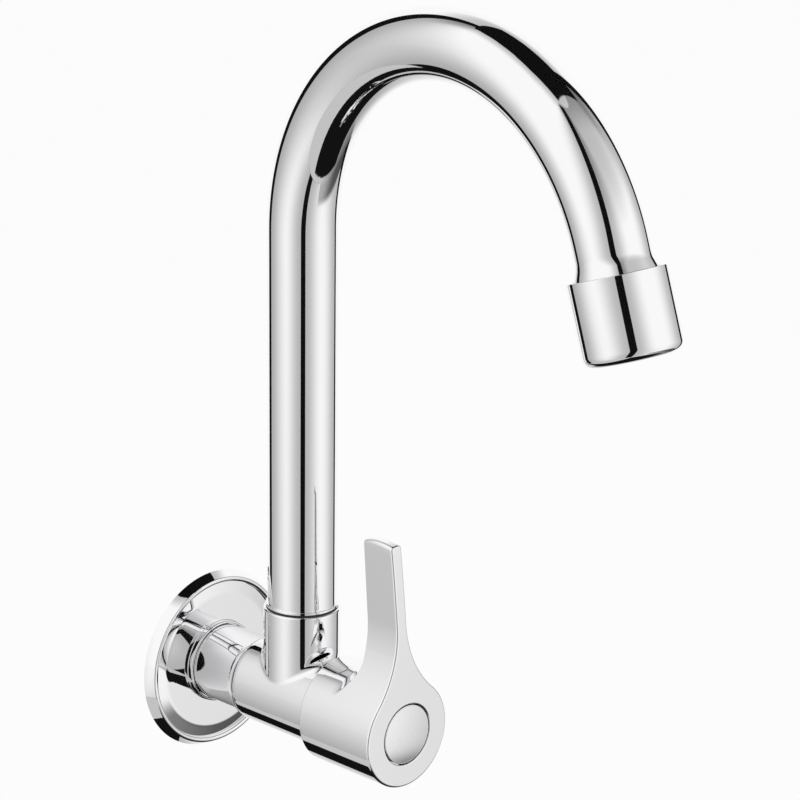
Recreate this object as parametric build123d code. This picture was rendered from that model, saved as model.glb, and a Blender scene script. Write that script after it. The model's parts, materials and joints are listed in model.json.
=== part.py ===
"""Wall-mounted single-lever kitchen tap with a swivelling swan-neck spout.

Millimetres. The origin is where the inlet axis meets the wall, +Y points into the wall, +Z is up.
Each function returns one piece. Pieces on the valve axis are drawn along +Z, counted from the wall,
with +Y up, and then laid down by on_valve_axis. Pieces of the spout's foot stand on the riser's axis.
Pieces of the nozzle are drawn from the spout's mouth, with +Z the way the water leaves.
"""

import math
import os

from build123d import *

# Clearances
RUN_FIT = 0.08  # turning shaft in its bore, on the radius
THREAD_FIT = 0.05  # male thread in its female, on the radius
SEAT_FIT = 0.05  # faces that rest on each other
RING_FIT = 0.05  # rubber ring in its groove
LOOSE_FIT = 0.3  # housing in the valve chamber

# Inlet and shank
INLET_THREAD_R = 10.48  # G1/2
INLET_THREAD_LENGTH = 16.0
THREAD_CHAMFER = 1.0
WATERWAY_R = 6.0
SHANK_R = 12.5
SHANK_START = 0.5
STRAINER_R = 8.1
STRAINER_DEPTH = 1.6
STRAINER_T = 1.2
STRAINER_HOLE_R = 0.8
STRAINER_PITCH = 2.5

# Barrel and socket of the body
RISER_OUT = 42.4  # riser axis from the wall
BARREL_R = 14.0
BARREL_FRONT = 19.6  # barrel's end beyond the riser axis
BARREL_CHAMFER = 0.5
SHOULDER_BACK = 16.4  # where the rounded shoulder meets the barrel, behind the riser axis
SHOULDER_LENGTH = 5.0
SOCKET_TOP = 30.0
SOCKET_WALL = 2.92
SOCKET_FLOOR = 12.0
SOCKET_RIM_ROUND = 0.7
SOCKET_BLEND = 2.6
OUTLET_R = 6.5

# Wall flange, pressed from sheet
FLANGE_R = 29.7
FLANGE_FACE = 3.0  # its front face from the wall
FLANGE_SHEET = 0.8
FLANGE_TAPER = 1.5
BEAD_WIDTH = 1.7
BEAD_HEIGHT = 0.55
LIP_GAP = 0.1
LIP_T = 0.9
LIP_HEIGHT = 1.9
GASKET_RIM = 1.7
GASKET_BORE_GAP = 2.0

# Headwork
SEAT_BACK = 12.4  # seat behind the riser axis
HOUSING_R = 9.4
HOUSING_WALL = 1.35
HEADWORK_THREAD_R = 10.45  # G1/2
HEADWORK_THREAD_LENGTH = 10.0
THREAD_RELIEF = 2.0
SEAL_T = 3.45
SEAL_REACH = 1.5  # how far the seal stands out of the housing
SEAL_BORE_R = 6.2
DISC_T = 3.0
DISC_HUB_R = 2.0
DISC_PORT_R = 6.6
DISC_PORT_TURN = 78.0
KEY_WIDTH = 1.6
KEY_DEPTH = 0.9
DRIVE_WIDTH = 3.0
DRIVE_DEPTH = 1.5
DRIVE_IN_R = 5.0
DRIVE_LEG = 6.95
WINDOW_WIDTH = 6.0
WINDOW_MARGIN = 1.0
COLLAR_T = 2.0
COLLAR_R = 12.6
HEX_ACROSS_FLATS = 19.0
HEX_HEIGHT = 5.0
NECK_R = 7.2
NECK_HEIGHT = 3.4
HEADWORK_GASKET_T = 0.6

# Spindle
SPINDLE_R = 4.9
SPINDLE_FLANGE_T = 2.0
STOP_FLOOR_R = 6.2
STOP_RIB_TURN = 29.6
STOP_SLACK = 0.5
HANDLE_TRAVEL = 90.0
GLIDE_T = 0.6
SPINDLE_RING_THICKNESS = 1.16
SPINDLE_RING_GROOVE = 1.4
SPINDLE_RING_FIRST = 4.8
SPINDLE_RING_STEP = 4.0
CLIP_T = 0.65
CLIP_GROOVE = 0.8
CLIP_GROOVE_DEPTH = 0.7
CLIP_WIDTH = 2.0
CLIP_OPENING = 70.0
SPLINE_TEETH = 20
SPLINE_TIP_R = 4.0
SPLINE_DEPTH = 0.4
SPLINE_LEAD = 0.7  # plain shaft above the clip

# Handle
SKIRT_LAP = 2.9  # how far the skirt covers the barrel
SKIRT_GAP = 1.4
SKIRT_WALL = 1.85
SKIRT_DRAFT = 0.4
HUB_LENGTH = 30.7
HUB_REAR_ROUND = 0.4
LEVER_TOP = 63.8
LEVER_WIDTH = 4.3
LEVER_DEPTH = 13.0
LEVER_TOP_ROUND = 0.8
LEVER_LEAN = 4.2  # the lever's turn to the left of upright at its closed stop
FLARE_R = 36.0
COVE_R = 6.5
CROWN_START = 25.0
CROWN = 1.0
FACE_ROUND = 0.5
WELL_DEPTH = 4.2
WEB_T = 2.2
BOSS_R = 6.8
BOSS_GAP = 1.55
SCREW_R = 1.95  # M4
SCREW_HOLE_R = 2.2
SCREW_LENGTH = 10.0
SCREW_HEAD_R = 3.6
SCREW_HEAD_T = 2.2
SCREW_HEX = 2.5
SCREW_HEX_DEPTH = 1.4
SPINDLE_SHORT = 0.4  # spindle's end short of the handle's web

# Index button
BUTTON_R = 9.8
BUTTON_GAP = 0.15
BUTTON_WALL = 1.2
BUTTON_SKIRT = 3.4
BUTTON_SINK = 0.15
BUTTON_RISE = 2.0

# Spout tube
TUBE_R = 11.0
TUBE_WALL = 1.0
RISER_TOP = 153.0
ARCH_R = 68.0
ARCH_TURN = 160.6
MOUTH_RUN = 8.4
MOUTH_SWAGE = 1.4  # how much wider the mouth is than the tube, on the radius
MOUTH_LAND = 1.3
FLARE_LENGTH = 4.5
SPOUT_TURN = -3.5  # the spout's turn from square to the wall, at rest

# Spout foot
FOOT_STEP = 1.7  # spigot inside the tube's outside, on the radius
FOOT_WALL = 2.8  # between the spigot's bore and its outside
FOOT_CLEAR = 1.0  # foot above the socket's floor
FOOT_PLUG = 11.5
FOOT_COLLAR_LAP = 0.6  # collar beyond the tube, on the radius
FOOT_COLLAR_T = 0.8
FOOT_COLLAR_ROUND = 0.35
FOOT_RING_THICKNESS = 1.8
FOOT_RING_GROOVE = 2.4
FOOT_RING_FIRST = 2.5
FOOT_RING_STEP = 5.0
RETAINER_T = 1.0
RETAINER_WIDTH = 1.6
RETAINER_BELOW = 3.6
RETAINER_OPENING = 20.0
SWIVEL_WASHER_T = 0.6
SWIVEL_WASHER_INSET = 0.1  # washer inside the collar, on the radius

# Nozzle
SHELL_LENGTH = 24.3
SHELL_WALL = 2.6
SHELL_ROUND = 3.0
SHELL_LIP_T = 1.5
SHELL_LIP_WIDTH = 1.8
OUTLET_THREAD_R = 11.95  # M24
OUTLET_THREAD_LENGTH = 8.0
FERRULE_BORE_R = 9.0
NOZZLE_WASHER_T = 1.6
AERATOR_GAP = 0.15
AERATOR_FLANGE_T = 1.5
AERATOR_SLEEVE_R = 11.2
AERATOR_SLEEVE_WALL = 1.0
AERATOR_LEDGE = 0.9
AERATOR_LEDGE_T = 1.0
AIR_SLOTS = 8
AIR_SLOT_WIDTH = 2.0
AIR_SLOT_HEIGHT = 2.4
FLOW_PLATE_T = 1.4
FLOW_HOLE_R = 0.6
FLOW_HOLE_PITCH = 3.4
GRILLE_T = 2.6
GRILLE_CELL = 2.5  # across flats
GRILLE_PITCH = 3.0
SCREEN_T = 0.5
SCREEN_HOLE = 1.2
SCREEN_PITCH = 1.8

# Places on the valve axis, counted from the wall
barrel_end = RISER_OUT + BARREL_FRONT
seat = RISER_OUT - SEAT_BACK
shoulder_end = RISER_OUT - SHOULDER_BACK
disc_foot = seat + SEAT_FIT + SEAL_T
moving_foot = disc_foot + DISC_T + SEAT_FIT
moving_top = moving_foot + DISC_T
spindle_flange = moving_top + DRIVE_LEG
spindle_flange_top = spindle_flange + SPINDLE_FLANGE_T
housing_shoulder = spindle_flange_top + GLIDE_T + 2 * SEAT_FIT
collar_foot = barrel_end + HEADWORK_GASKET_T
hex_foot = collar_foot + COLLAR_T
neck_foot = hex_foot + HEX_HEIGHT
neck_top = neck_foot + NECK_HEIGHT
clip_foot = neck_top + RUN_FIT
hub_rear = barrel_end - SKIRT_LAP
hub_face = hub_rear + HUB_LENGTH
well_floor = hub_face - WELL_DEPTH
web_back = well_floor - WEB_T
spindle_end = web_back - SPINDLE_SHORT
spline_start = clip_foot + CLIP_GROOVE + SPLINE_LEAD
boss_back = spline_start + BOSS_GAP
lever_back = hub_face - LEVER_DEPTH

# Radii that follow from others
foot_r = TUBE_R - FOOT_STEP
foot_bore_r = foot_r - FOOT_WALL
socket_bore_r = foot_r + RUN_FIT
socket_r = socket_bore_r + SOCKET_WALL
chamber_r = HOUSING_R + LOOSE_FIT
housing_bore_r = HOUSING_R - HOUSING_WALL
disc_r = housing_bore_r - SEAT_FIT
skirt_bore_r = BARREL_R + SKIRT_GAP
hub_r = skirt_bore_r + SKIRT_WALL
well_r = BUTTON_R + BUTTON_GAP
tube_bore_r = TUBE_R - TUBE_WALL
mouth_r = TUBE_R + MOUTH_SWAGE
mouth_bore_r = mouth_r - TUBE_WALL
foot_collar_r = TUBE_R + FOOT_COLLAR_LAP
swivel_washer_r = foot_collar_r - SWIVEL_WASHER_INSET
shell_bore_r = OUTLET_THREAD_R + THREAD_FIT
shell_r = shell_bore_r + SHELL_WALL
shell_mouth_r = shell_bore_r - SHELL_LIP_WIDTH
aerator_bore_r = AERATOR_SLEEVE_R - AERATOR_SLEEVE_WALL

# Heights on the riser's axis
collar_seat = SOCKET_TOP + SWIVEL_WASHER_T + SEAT_FIT
tube_foot = collar_seat + FOOT_COLLAR_T
foot_end = SOCKET_FLOOR + FOOT_CLEAR
retainer_foot = SOCKET_TOP - RETAINER_BELOW

# Places in the nozzle, counted from the spout's mouth
washer_place = OUTLET_THREAD_LENGTH + SEAT_FIT
aerator_foot = washer_place + NOZZLE_WASHER_T + SEAT_FIT
shell_lip = SHELL_LENGTH - SHELL_LIP_T
aerator_end = shell_lip - SEAT_FIT
upper_ledge = aerator_foot + AERATOR_FLANGE_T
lower_ledge = aerator_end - AERATOR_LEDGE_T


def on_valve_axis(piece):
    """Lay a piece drawn along +Z, counted from the wall, onto the valve's axis."""
    return piece.rotate(Axis.X, 90)


def on_riser(piece):
    """Stand a piece on the riser's axis."""
    return Pos(0, -RISER_OUT, 0) * piece


def on_spout(piece):
    """Stand a piece on the riser's axis, turned as the spout is at rest."""
    return on_riser(piece.rotate(Axis.Z, SPOUT_TURN))


def at_mouth(piece):
    """Set a piece at the spout's mouth, with its +Z the way the water leaves."""
    outward = (0, -math.sin(math.radians(ARCH_TURN)), math.cos(math.radians(ARCH_TURN)))
    end = Vector(*arch_point(ARCH_TURN)) + Vector(*outward) * MOUTH_RUN
    frame = Plane(origin=end, x_dir=(1, 0, 0), z_dir=outward)
    return on_spout(frame.location * piece)


def arch_point(turn):
    """A point of the spout's centre line, after so many degrees of the arch."""
    angle = math.radians(turn)
    return (0, ARCH_R * (math.cos(angle) - 1), RISER_TOP + ARCH_R * math.sin(angle))


def turned(*points):
    """A solid turned about Z from the outline through (radius, height) points."""
    return revolve(Plane.XZ * make_face(Polyline(*points, close=True)), Axis.Z)


def turned_from(*curves):
    """A solid turned about Z from joined curves that close an outline of radius and height."""
    return revolve(Plane.XZ * make_face(Curve() + list(curves)), Axis.Z)


def rod(radius, foot, top):
    """A round bar along Z between two heights."""
    return Pos(0, 0, foot) * extrude(Circle(radius), top - foot)


def ring(outer, inner, foot, top):
    """A plain ring along Z between two heights."""
    return Pos(0, 0, foot) * extrude(Circle(outer) - Circle(inner), top - foot)


def sector(outer, inner, turn, middle, foot, top):
    """A sector of a ring, so many degrees wide about a middle direction."""
    start = middle - turn / 2
    outline = CenterArc((0, 0), outer, start, turn)
    if inner > 0:
        back = CenterArc((0, 0), inner, start, turn)
        sides = [Line(outline @ 0, back @ 0), Line(outline @ 1, back @ 1)]
        face = make_face(Curve() + [outline, back] + sides)
    else:
        face = make_face(Curve() + [outline, Polyline(outline @ 1, (0, 0), outline @ 0)])
    return Pos(0, 0, foot) * extrude(face, top - foot)


def arc_about(centre, start, end):
    """The short arc from start to end about a centre."""
    centre = Vector(*centre)
    from_start = Vector(*start) - centre
    from_end = Vector(*end) - centre
    middle = centre + (from_start + from_end).normalized() * from_start.length
    return ThreePointArc(start, middle, end)


def sealing_ring(bore, thickness, height):
    """A rubber ring of round section that just clears the bore it seals."""
    radius = thickness / 2
    section = Pos(bore - RING_FIT - radius, height) * Circle(radius)
    return revolve(Plane.XZ * section, Axis.Z)


def ring_groove(shaft, bore, thickness, width, height):
    """The ring-shaped cut in a shaft for a sealing ring, centred on a height."""
    floor = bore - thickness - 2 * RING_FIT
    return ring(shaft + THREAD_CHAMFER, floor, height - width / 2, height + width / 2)


def hole_field(face, spacing, reach):
    """Copies of a small face on a hexagonal field, as far out as their centres reach."""
    count = int(reach / spacing)
    holes = Sketch()
    for row in range(-count, count + 1):
        for column in range(-count, count + 1):
            x = spacing * (column + row / 2)
            y = spacing * row * math.sqrt(3) / 2
            if math.hypot(x, y) <= reach:
                holes += Pos(x, y) * face
    return holes


def body_outside():
    """The turned outside of shank and barrel, with the upright socket blended into it."""
    tip = -INLET_THREAD_LENGTH
    shoulder_start = shoulder_end - SHOULDER_LENGTH
    shank_top = (SHANK_R, shoulder_start)
    barrel_foot = (BARREL_R, shoulder_end)
    lower = Polyline(
        (0, barrel_end),
        (0, tip),
        (INLET_THREAD_R - THREAD_CHAMFER, tip),
        (INLET_THREAD_R, tip + THREAD_CHAMFER),
        (INLET_THREAD_R, SHANK_START),
        (SHANK_R, SHANK_START),
        shank_top,
    )
    shoulder = TangentArc(barrel_foot, shank_top, tangent=(0, -1))
    upper = Polyline(
        barrel_foot,
        (BARREL_R, barrel_end - BARREL_CHAMFER),
        (BARREL_R - BARREL_CHAMFER, barrel_end),
        (0, barrel_end),
    )
    barrel = on_valve_axis(turned_from(lower, shoulder, upper))
    socket = on_riser(extrude(Circle(socket_r), SOCKET_TOP))
    body = barrel + socket
    seam = new_edges(barrel, socket, combined=body)
    return fillet(seam, SOCKET_BLEND)


def body_casting():
    """The brass body: waterway, valve chamber, headwork thread and the bore for the spout's foot."""
    tip = -INLET_THREAD_LENGTH
    body = body_outside()
    rim = body.edges().filter_by(GeomType.CIRCLE).filter_by_position(Axis.Z, SOCKET_TOP, SOCKET_TOP)
    body = fillet(rim, SOCKET_RIM_ROUND)
    way = rod(WATERWAY_R, tip, seat)
    way += rod(STRAINER_R + SEAT_FIT, tip, tip + STRAINER_DEPTH)
    way += rod(chamber_r, seat, barrel_end - HEADWORK_THREAD_LENGTH - THREAD_RELIEF)
    way += rod(
        HEADWORK_THREAD_R + THREAD_FIT, barrel_end - HEADWORK_THREAD_LENGTH - THREAD_RELIEF, barrel_end
    )
    well = rod(socket_bore_r, SOCKET_FLOOR, SOCKET_TOP)
    well += rod(OUTLET_R, 0, SOCKET_FLOOR)
    groove_r = foot_r + RUN_FIT + RETAINER_WIDTH / 2 + RING_FIT
    well += ring(
        groove_r, foot_r, retainer_foot - RING_FIT, retainer_foot + RETAINER_T + RING_FIT
    )
    return body - on_valve_axis(way) - on_riser(well)


def wall_flange():
    """The pressed wall flange: tapered edge, rounded bead, flat face and a lip round the shank."""
    inner = SHANK_R + LIP_GAP
    lip = inner + LIP_T
    crest = FLANGE_FACE + LIP_HEIGHT
    bead_out = (FLANGE_R - FLANGE_TAPER, FLANGE_FACE)
    bead_top = (bead_out[0] - BEAD_WIDTH / 2, FLANGE_FACE + BEAD_HEIGHT)
    bead_in = (bead_out[0] - BEAD_WIDTH, FLANGE_FACE)
    back = FLANGE_FACE - FLANGE_SHEET
    taper = FLANGE_TAPER * back / FLANGE_FACE
    outline = [
        Line((FLANGE_R, 0), bead_out),
        ThreePointArc(bead_out, bead_top, bead_in),
        Line(bead_in, (lip, FLANGE_FACE)),
        Line((lip, FLANGE_FACE), (lip, crest - LIP_T / 2)),
        ThreePointArc((lip, crest - LIP_T / 2), (lip - LIP_T / 2, crest), (inner, crest - LIP_T / 2)),
        Line((inner, crest - LIP_T / 2), (inner, back)),
        Line((inner, back), (FLANGE_R - FLANGE_SHEET - taper, back)),
        Line((FLANGE_R - FLANGE_SHEET - taper, back), (FLANGE_R - FLANGE_SHEET, 0)),
        Line((FLANGE_R - FLANGE_SHEET, 0), (FLANGE_R, 0)),
    ]
    return on_valve_axis(turned_from(*outline))


def flange_gasket():
    """The foam ring between the flange and the wall."""
    outer = FLANGE_R - FLANGE_TAPER - GASKET_RIM
    thickness = FLANGE_FACE - FLANGE_SHEET - SEAT_FIT
    return on_valve_axis(ring(outer, SHANK_R + GASKET_BORE_GAP, 0, thickness))


def inlet_strainer():
    """The perforated steel disc at the inlet's mouth."""
    reach = WATERWAY_R - STRAINER_HOLE_R
    disc = Circle(STRAINER_R) - hole_field(Circle(STRAINER_HOLE_R), STRAINER_PITCH, reach)
    foot = STRAINER_DEPTH - STRAINER_T - INLET_THREAD_LENGTH
    return on_valve_axis(Pos(0, 0, foot) * extrude(disc, STRAINER_T - SEAT_FIT))


def seat_seal():
    """The rubber seal between the seat and the fixed disc."""
    return on_valve_axis(ring(disc_r, SEAL_BORE_R, seat + SEAT_FIT, disc_foot - SEAT_FIT))


def disc_ports(turn, foot, top):
    """The two ports of a ceramic disc, opposite each other."""
    ports = sector(DISC_PORT_R, DISC_HUB_R, DISC_PORT_TURN, turn, foot, top)
    return ports + sector(DISC_PORT_R, DISC_HUB_R, DISC_PORT_TURN, turn + 180, foot, top)


def key_bars(grow, foot, top):
    """Two bars across the housing's wall that key the fixed disc, wider by grow on every side."""
    length = KEY_DEPTH + HOUSING_WALL / 2
    section = Rectangle(KEY_WIDTH + 2 * grow, length + 2 * grow)
    bars = Part()
    for side in (1, -1):
        middle = side * (housing_bore_r - KEY_DEPTH + length / 2)
        bars += Pos(0, middle, foot) * extrude(section, top - foot)
    return bars


def fixed_disc():
    """The lower ceramic disc, keyed to the housing."""
    top = disc_foot + DISC_T
    disc = rod(disc_r, disc_foot, top) - disc_ports(0, disc_foot, top)
    return on_valve_axis(disc - key_bars(SEAT_FIT, disc_foot, top))


def moving_disc():
    """The upper ceramic disc, with two slots that the spindle drives."""
    disc = rod(disc_r, moving_foot, moving_top) - disc_ports(90, moving_foot, moving_top)
    width = DRIVE_WIDTH + 2 * SEAT_FIT
    slots = extrude(Rectangle(2 * HOUSING_R, width), DRIVE_DEPTH)
    slots -= rod(DRIVE_IN_R - SEAT_FIT, 0, DRIVE_DEPTH)
    return on_valve_axis(disc - Pos(0, 0, moving_top - DRIVE_DEPTH) * slots)


def cartridge_housing():
    """The brass headwork housing: skirt with windows, thread, collar, hexagon and neck."""
    foot = seat + SEAL_REACH
    thread_foot = barrel_end - HEADWORK_THREAD_LENGTH - THREAD_RELIEF
    thread_top = barrel_end - THREAD_RELIEF
    housing = turned(
        (0, foot),
        (HOUSING_R, foot),
        (HOUSING_R, thread_foot),
        (HEADWORK_THREAD_R, thread_foot + THREAD_CHAMFER),
        (HEADWORK_THREAD_R, thread_top),
        (HOUSING_R, thread_top),
        (HOUSING_R, collar_foot),
        (COLLAR_R, collar_foot),
        (COLLAR_R, hex_foot),
        (NECK_R, hex_foot),
        (NECK_R, neck_top),
        (0, neck_top),
    )
    hexagon = RegularPolygon(HEX_ACROSS_FLATS / 2, 6, major_radius=False)
    housing += Pos(0, 0, hex_foot) * extrude(hexagon, HEX_HEIGHT)
    housing -= rod(housing_bore_r, foot, housing_shoulder)
    housing -= rod(SPINDLE_R + RUN_FIT, housing_shoulder, neck_top)
    windows = extrude(Rectangle(3 * HOUSING_R, WINDOW_WIDTH), DRIVE_LEG - 2 * WINDOW_MARGIN)
    for turn in (45, 135):
        housing -= Pos(0, 0, moving_top + WINDOW_MARGIN) * Rot(0, 0, turn) * windows
    housing += key_bars(0, disc_foot, disc_foot + DISC_T)
    housing += stop_rib()
    return on_valve_axis(housing)


def stop_rib():
    """The rib inside the housing that stops the spindle at both ends of its travel."""
    middle = HANDLE_TRAVEL + STOP_RIB_TURN / 2 + 2 * STOP_SLACK + cutaway_start() - STOP_SLACK
    outer = housing_bore_r + HOUSING_WALL / 2
    inner = STOP_FLOOR_R + RUN_FIT
    foot = spindle_flange + SEAT_FIT
    return sector(outer, inner, STOP_RIB_TURN, middle, foot, spindle_flange_top)


def cutaway_turn():
    """How wide the spindle flange is cut away: the handle's travel, the rib and its slack."""
    return HANDLE_TRAVEL + STOP_RIB_TURN + 2 * STOP_SLACK


def cutaway_start():
    """The direction where the cut-away starts, centred between the two driving legs."""
    return 90 - cutaway_turn() / 2


def headwork_gasket():
    """The flat fibre ring between the housing's collar and the barrel."""
    inner = HEADWORK_THREAD_R + THREAD_FIT
    return on_valve_axis(ring(COLLAR_R, inner, barrel_end, collar_foot))


def spline(tip, root, height):
    """A toothed bar: straight flanks between tips and roots."""
    points = []
    for step in range(2 * SPLINE_TEETH):
        radius = tip if step % 2 == 0 else root
        angle = math.pi * step / SPLINE_TEETH
        points.append((radius * math.cos(angle), radius * math.sin(angle)))
    return extrude(make_face(Polyline(*points, close=True)), height)


def spindle():
    """The spindle: two driving legs, a flange with the stop's cut-away, ring grooves and spline."""
    legs = extrude(Rectangle(2 * disc_r - 4 * SEAT_FIT, DRIVE_WIDTH), DRIVE_LEG + DRIVE_DEPTH - SEAT_FIT)
    legs -= rod(DRIVE_IN_R, 0, DRIVE_LEG + DRIVE_DEPTH)
    legs = legs & rod(disc_r, 0, DRIVE_LEG + DRIVE_DEPTH)
    flange = rod(disc_r - RUN_FIT, spindle_flange, spindle_flange_top)
    middle = cutaway_start() + cutaway_turn() / 2
    flange -= sector(
        HOUSING_R, STOP_FLOOR_R, cutaway_turn(), middle, spindle_flange, spindle_flange_top
    )
    shaft = rod(SPINDLE_R, spindle_flange, spline_start)
    teeth = spline(SPLINE_TIP_R, SPLINE_TIP_R - SPLINE_DEPTH, spindle_end - spline_start)
    shaft += Pos(0, 0, spline_start) * teeth
    for height in spindle_ring_heights():
        shaft -= ring_groove(
            SPINDLE_R, SPINDLE_R + RUN_FIT, SPINDLE_RING_THICKNESS, SPINDLE_RING_GROOVE, height
        )
    shaft -= ring(COLLAR_R, SPINDLE_R - CLIP_GROOVE_DEPTH, clip_foot, clip_foot + CLIP_GROOVE)
    shaft -= rod(SCREW_R + THREAD_FIT, well_floor - SCREW_LENGTH - THREAD_CHAMFER, spindle_end)
    foot = moving_top - DRIVE_DEPTH + SEAT_FIT
    return on_valve_axis(shaft + flange + Pos(0, 0, foot) * legs)


def spindle_ring_heights():
    """The heights of the spindle's two sealing rings."""
    first = housing_shoulder + SPINDLE_RING_FIRST
    return (first, first + SPINDLE_RING_STEP)


def spindle_ring(height):
    """One sealing ring of the spindle."""
    return on_valve_axis(sealing_ring(SPINDLE_R + RUN_FIT, SPINDLE_RING_THICKNESS, height))


def glide_washer():
    """The thin plastic washer above the spindle's flange."""
    foot = spindle_flange_top + SEAT_FIT
    return on_valve_axis(ring(disc_r - RUN_FIT, SPINDLE_R + RUN_FIT, foot, foot + GLIDE_T))


def spindle_clip():
    """The open spring clip that holds the spindle in the housing."""
    foot = clip_foot + (CLIP_GROOVE - CLIP_T) / 2
    inner = SPINDLE_R - CLIP_GROOVE_DEPTH + RING_FIT
    clip = ring(inner + CLIP_WIDTH, inner, foot, foot + CLIP_T)
    return on_valve_axis(clip - sector(COLLAR_R, 0, CLIP_OPENING, -90, foot, foot + CLIP_T))


def lever_outline():
    """The teardrop front view of the handle: the hub's circle, two flares and the slim stem."""
    half = LEVER_WIDTH / 2
    spread = hub_r + FLARE_R
    centre = (half + FLARE_R, math.sqrt(spread**2 - (half + FLARE_R) ** 2))
    touch = (centre[0] * hub_r / spread, centre[1] * hub_r / spread)
    stem_foot = (half, centre[1])
    right = arc_about(centre, touch, stem_foot)
    left = arc_about((-centre[0], centre[1]), (-stem_foot[0], stem_foot[1]), (-touch[0], touch[1]))
    top = Polyline(stem_foot, (half, LEVER_TOP), (-half, LEVER_TOP), (-half, centre[1]))
    hub = ThreePointArc((-touch[0], touch[1]), (0, -hub_r), touch)
    outline = make_face(Curve() + [right, top, left, hub])
    corners = outline.vertices().filter_by_position(Axis.Y, LEVER_TOP, LEVER_TOP)
    return fillet(corners, LEVER_TOP_ROUND)


def handle_side():
    """The handle's side view: flat front that leans back a little towards the lever's tip."""
    low = -hub_r - HUB_REAR_ROUND
    high = LEVER_TOP + LEVER_TOP_ROUND
    front = Line((low, hub_face), (CROWN_START, hub_face))
    crown = TangentArc((CROWN_START, hub_face), (high, hub_face - CROWN), tangent=(1, 0))
    rest = Polyline((high, hub_face - CROWN), (high, hub_rear), (low, hub_rear), (low, hub_face))
    side = Plane.YZ * make_face(Curve() + [front, crown, rest])
    return extrude(side, 2 * hub_r, both=True)


def behind_lever():
    """What is cut away behind the lever: outside the hub's round, with a cove up to its back."""
    reach = LEVER_TOP + hub_r
    low = hub_rear - HUB_REAR_ROUND
    cove_foot = (hub_r, lever_back - COVE_R)
    cove_top = (hub_r + COVE_R, lever_back)
    cove = arc_about((cove_top[0], cove_foot[1]), cove_foot, cove_top)
    rest = Polyline(cove_top, (reach, lever_back), (reach, low), (hub_r, low), cove_foot)
    return turned_from(cove, rest)


def handle_outside():
    """Lever and hub in one: the teardrop carried back, trimmed to the side view and to the hub."""
    stock = extrude(lever_outline(), HUB_LENGTH + 2 * HUB_REAR_ROUND)
    stock = Pos(0, 0, hub_rear - HUB_REAR_ROUND) * stock
    handle = (stock & handle_side()) - behind_lever()
    front = [edge for edge in handle.edges() if edge.bounding_box().min.Z > hub_face - CROWN - FACE_ROUND]
    handle = fillet(front, FACE_ROUND)
    rear = handle.edges().filter_by(GeomType.CIRCLE).filter_by_position(Axis.Z, hub_rear, hub_rear)
    return fillet(rear, HUB_REAR_ROUND)


def handle():
    """The cast handle: hollow skirt, boss with the spline's bore, web and button well."""
    cavity = turned(
        (0, hub_rear),
        (skirt_bore_r, hub_rear),
        (skirt_bore_r - SKIRT_DRAFT, web_back),
        (BOSS_R, web_back),
        (BOSS_R, boss_back),
        (0, boss_back),
    )
    bore = Pos(0, 0, boss_back) * spline(
        SPLINE_TIP_R + RUN_FIT, SPLINE_TIP_R - SPLINE_DEPTH + RUN_FIT, web_back - boss_back
    )
    casting = handle_outside().rotate(Axis.Z, LEVER_LEAN) - cavity - bore
    casting -= rod(SCREW_HOLE_R, web_back, well_floor)
    casting -= rod(well_r, well_floor, hub_face)
    return on_valve_axis(casting)


def index_button():
    """The domed cap that snaps into the handle's well and hides the screw."""
    rim = hub_face - BUTTON_SINK
    dome_r = (BUTTON_R**2 + BUTTON_RISE**2) / (2 * BUTTON_RISE)
    centre = (0, rim + BUTTON_RISE - dome_r)
    inner_r = BUTTON_R - BUTTON_WALL
    inner_top = rim - BUTTON_WALL / 2
    dome = arc_about(centre, (BUTTON_R, rim), (0, rim + BUTTON_RISE))
    rest = Polyline(
        (0, rim + BUTTON_RISE),
        (0, inner_top),
        (inner_r, inner_top),
        (inner_r, rim - BUTTON_SKIRT),
        (BUTTON_R, rim - BUTTON_SKIRT),
        (BUTTON_R, rim),
    )
    return on_valve_axis(turned_from(dome, rest))


def handle_screw():
    """The socket-headed screw that draws the handle onto the spindle."""
    head = rod(SCREW_HEAD_R, well_floor, well_floor + SCREW_HEAD_T)
    key = RegularPolygon(SCREW_HEX / 2, 6, major_radius=False)
    head -= Pos(0, 0, well_floor + SCREW_HEAD_T - SCREW_HEX_DEPTH) * extrude(key, SCREW_HEX_DEPTH)
    return on_valve_axis(head + rod(SCREW_R, well_floor - SCREW_LENGTH, well_floor))


def spout_tube():
    """The bent tube: riser, arch and a short run that is swaged out at the mouth."""
    path = Line((0, 0, tube_foot), arch_point(0))
    path += ThreePointArc(arch_point(0), arch_point(ARCH_TURN / 2), arch_point(ARCH_TURN))
    section = Plane((0, 0, tube_foot)) * (Circle(TUBE_R) - Circle(tube_bore_r))
    tube = on_spout(sweep(section, path=path))
    return tube + at_mouth(swaged_mouth())


def swaged_mouth():
    """The tube's last run, widened by an S-curve that keeps the wall's thickness."""
    start = -MOUTH_LAND - FLARE_LENGTH
    middle = start + FLARE_LENGTH / 2
    outer = Bezier((TUBE_R, start), (TUBE_R, middle), (mouth_r, middle), (mouth_r, -MOUTH_LAND))
    inner = Bezier(
        (tube_bore_r, start), (tube_bore_r, middle), (mouth_bore_r, middle), (mouth_bore_r, -MOUTH_LAND)
    )
    ends = [
        Line((TUBE_R, -MOUTH_RUN), (TUBE_R, start)),
        Line((mouth_r, -MOUTH_LAND), (mouth_r, 0)),
        Line((mouth_r, 0), (mouth_bore_r, 0)),
        Line((mouth_bore_r, 0), (mouth_bore_r, -MOUTH_LAND)),
        Line((tube_bore_r, start), (tube_bore_r, -MOUTH_RUN)),
        Line((tube_bore_r, -MOUTH_RUN), (TUBE_R, -MOUTH_RUN)),
    ]
    return turned_from(outer, inner, *ends)


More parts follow.
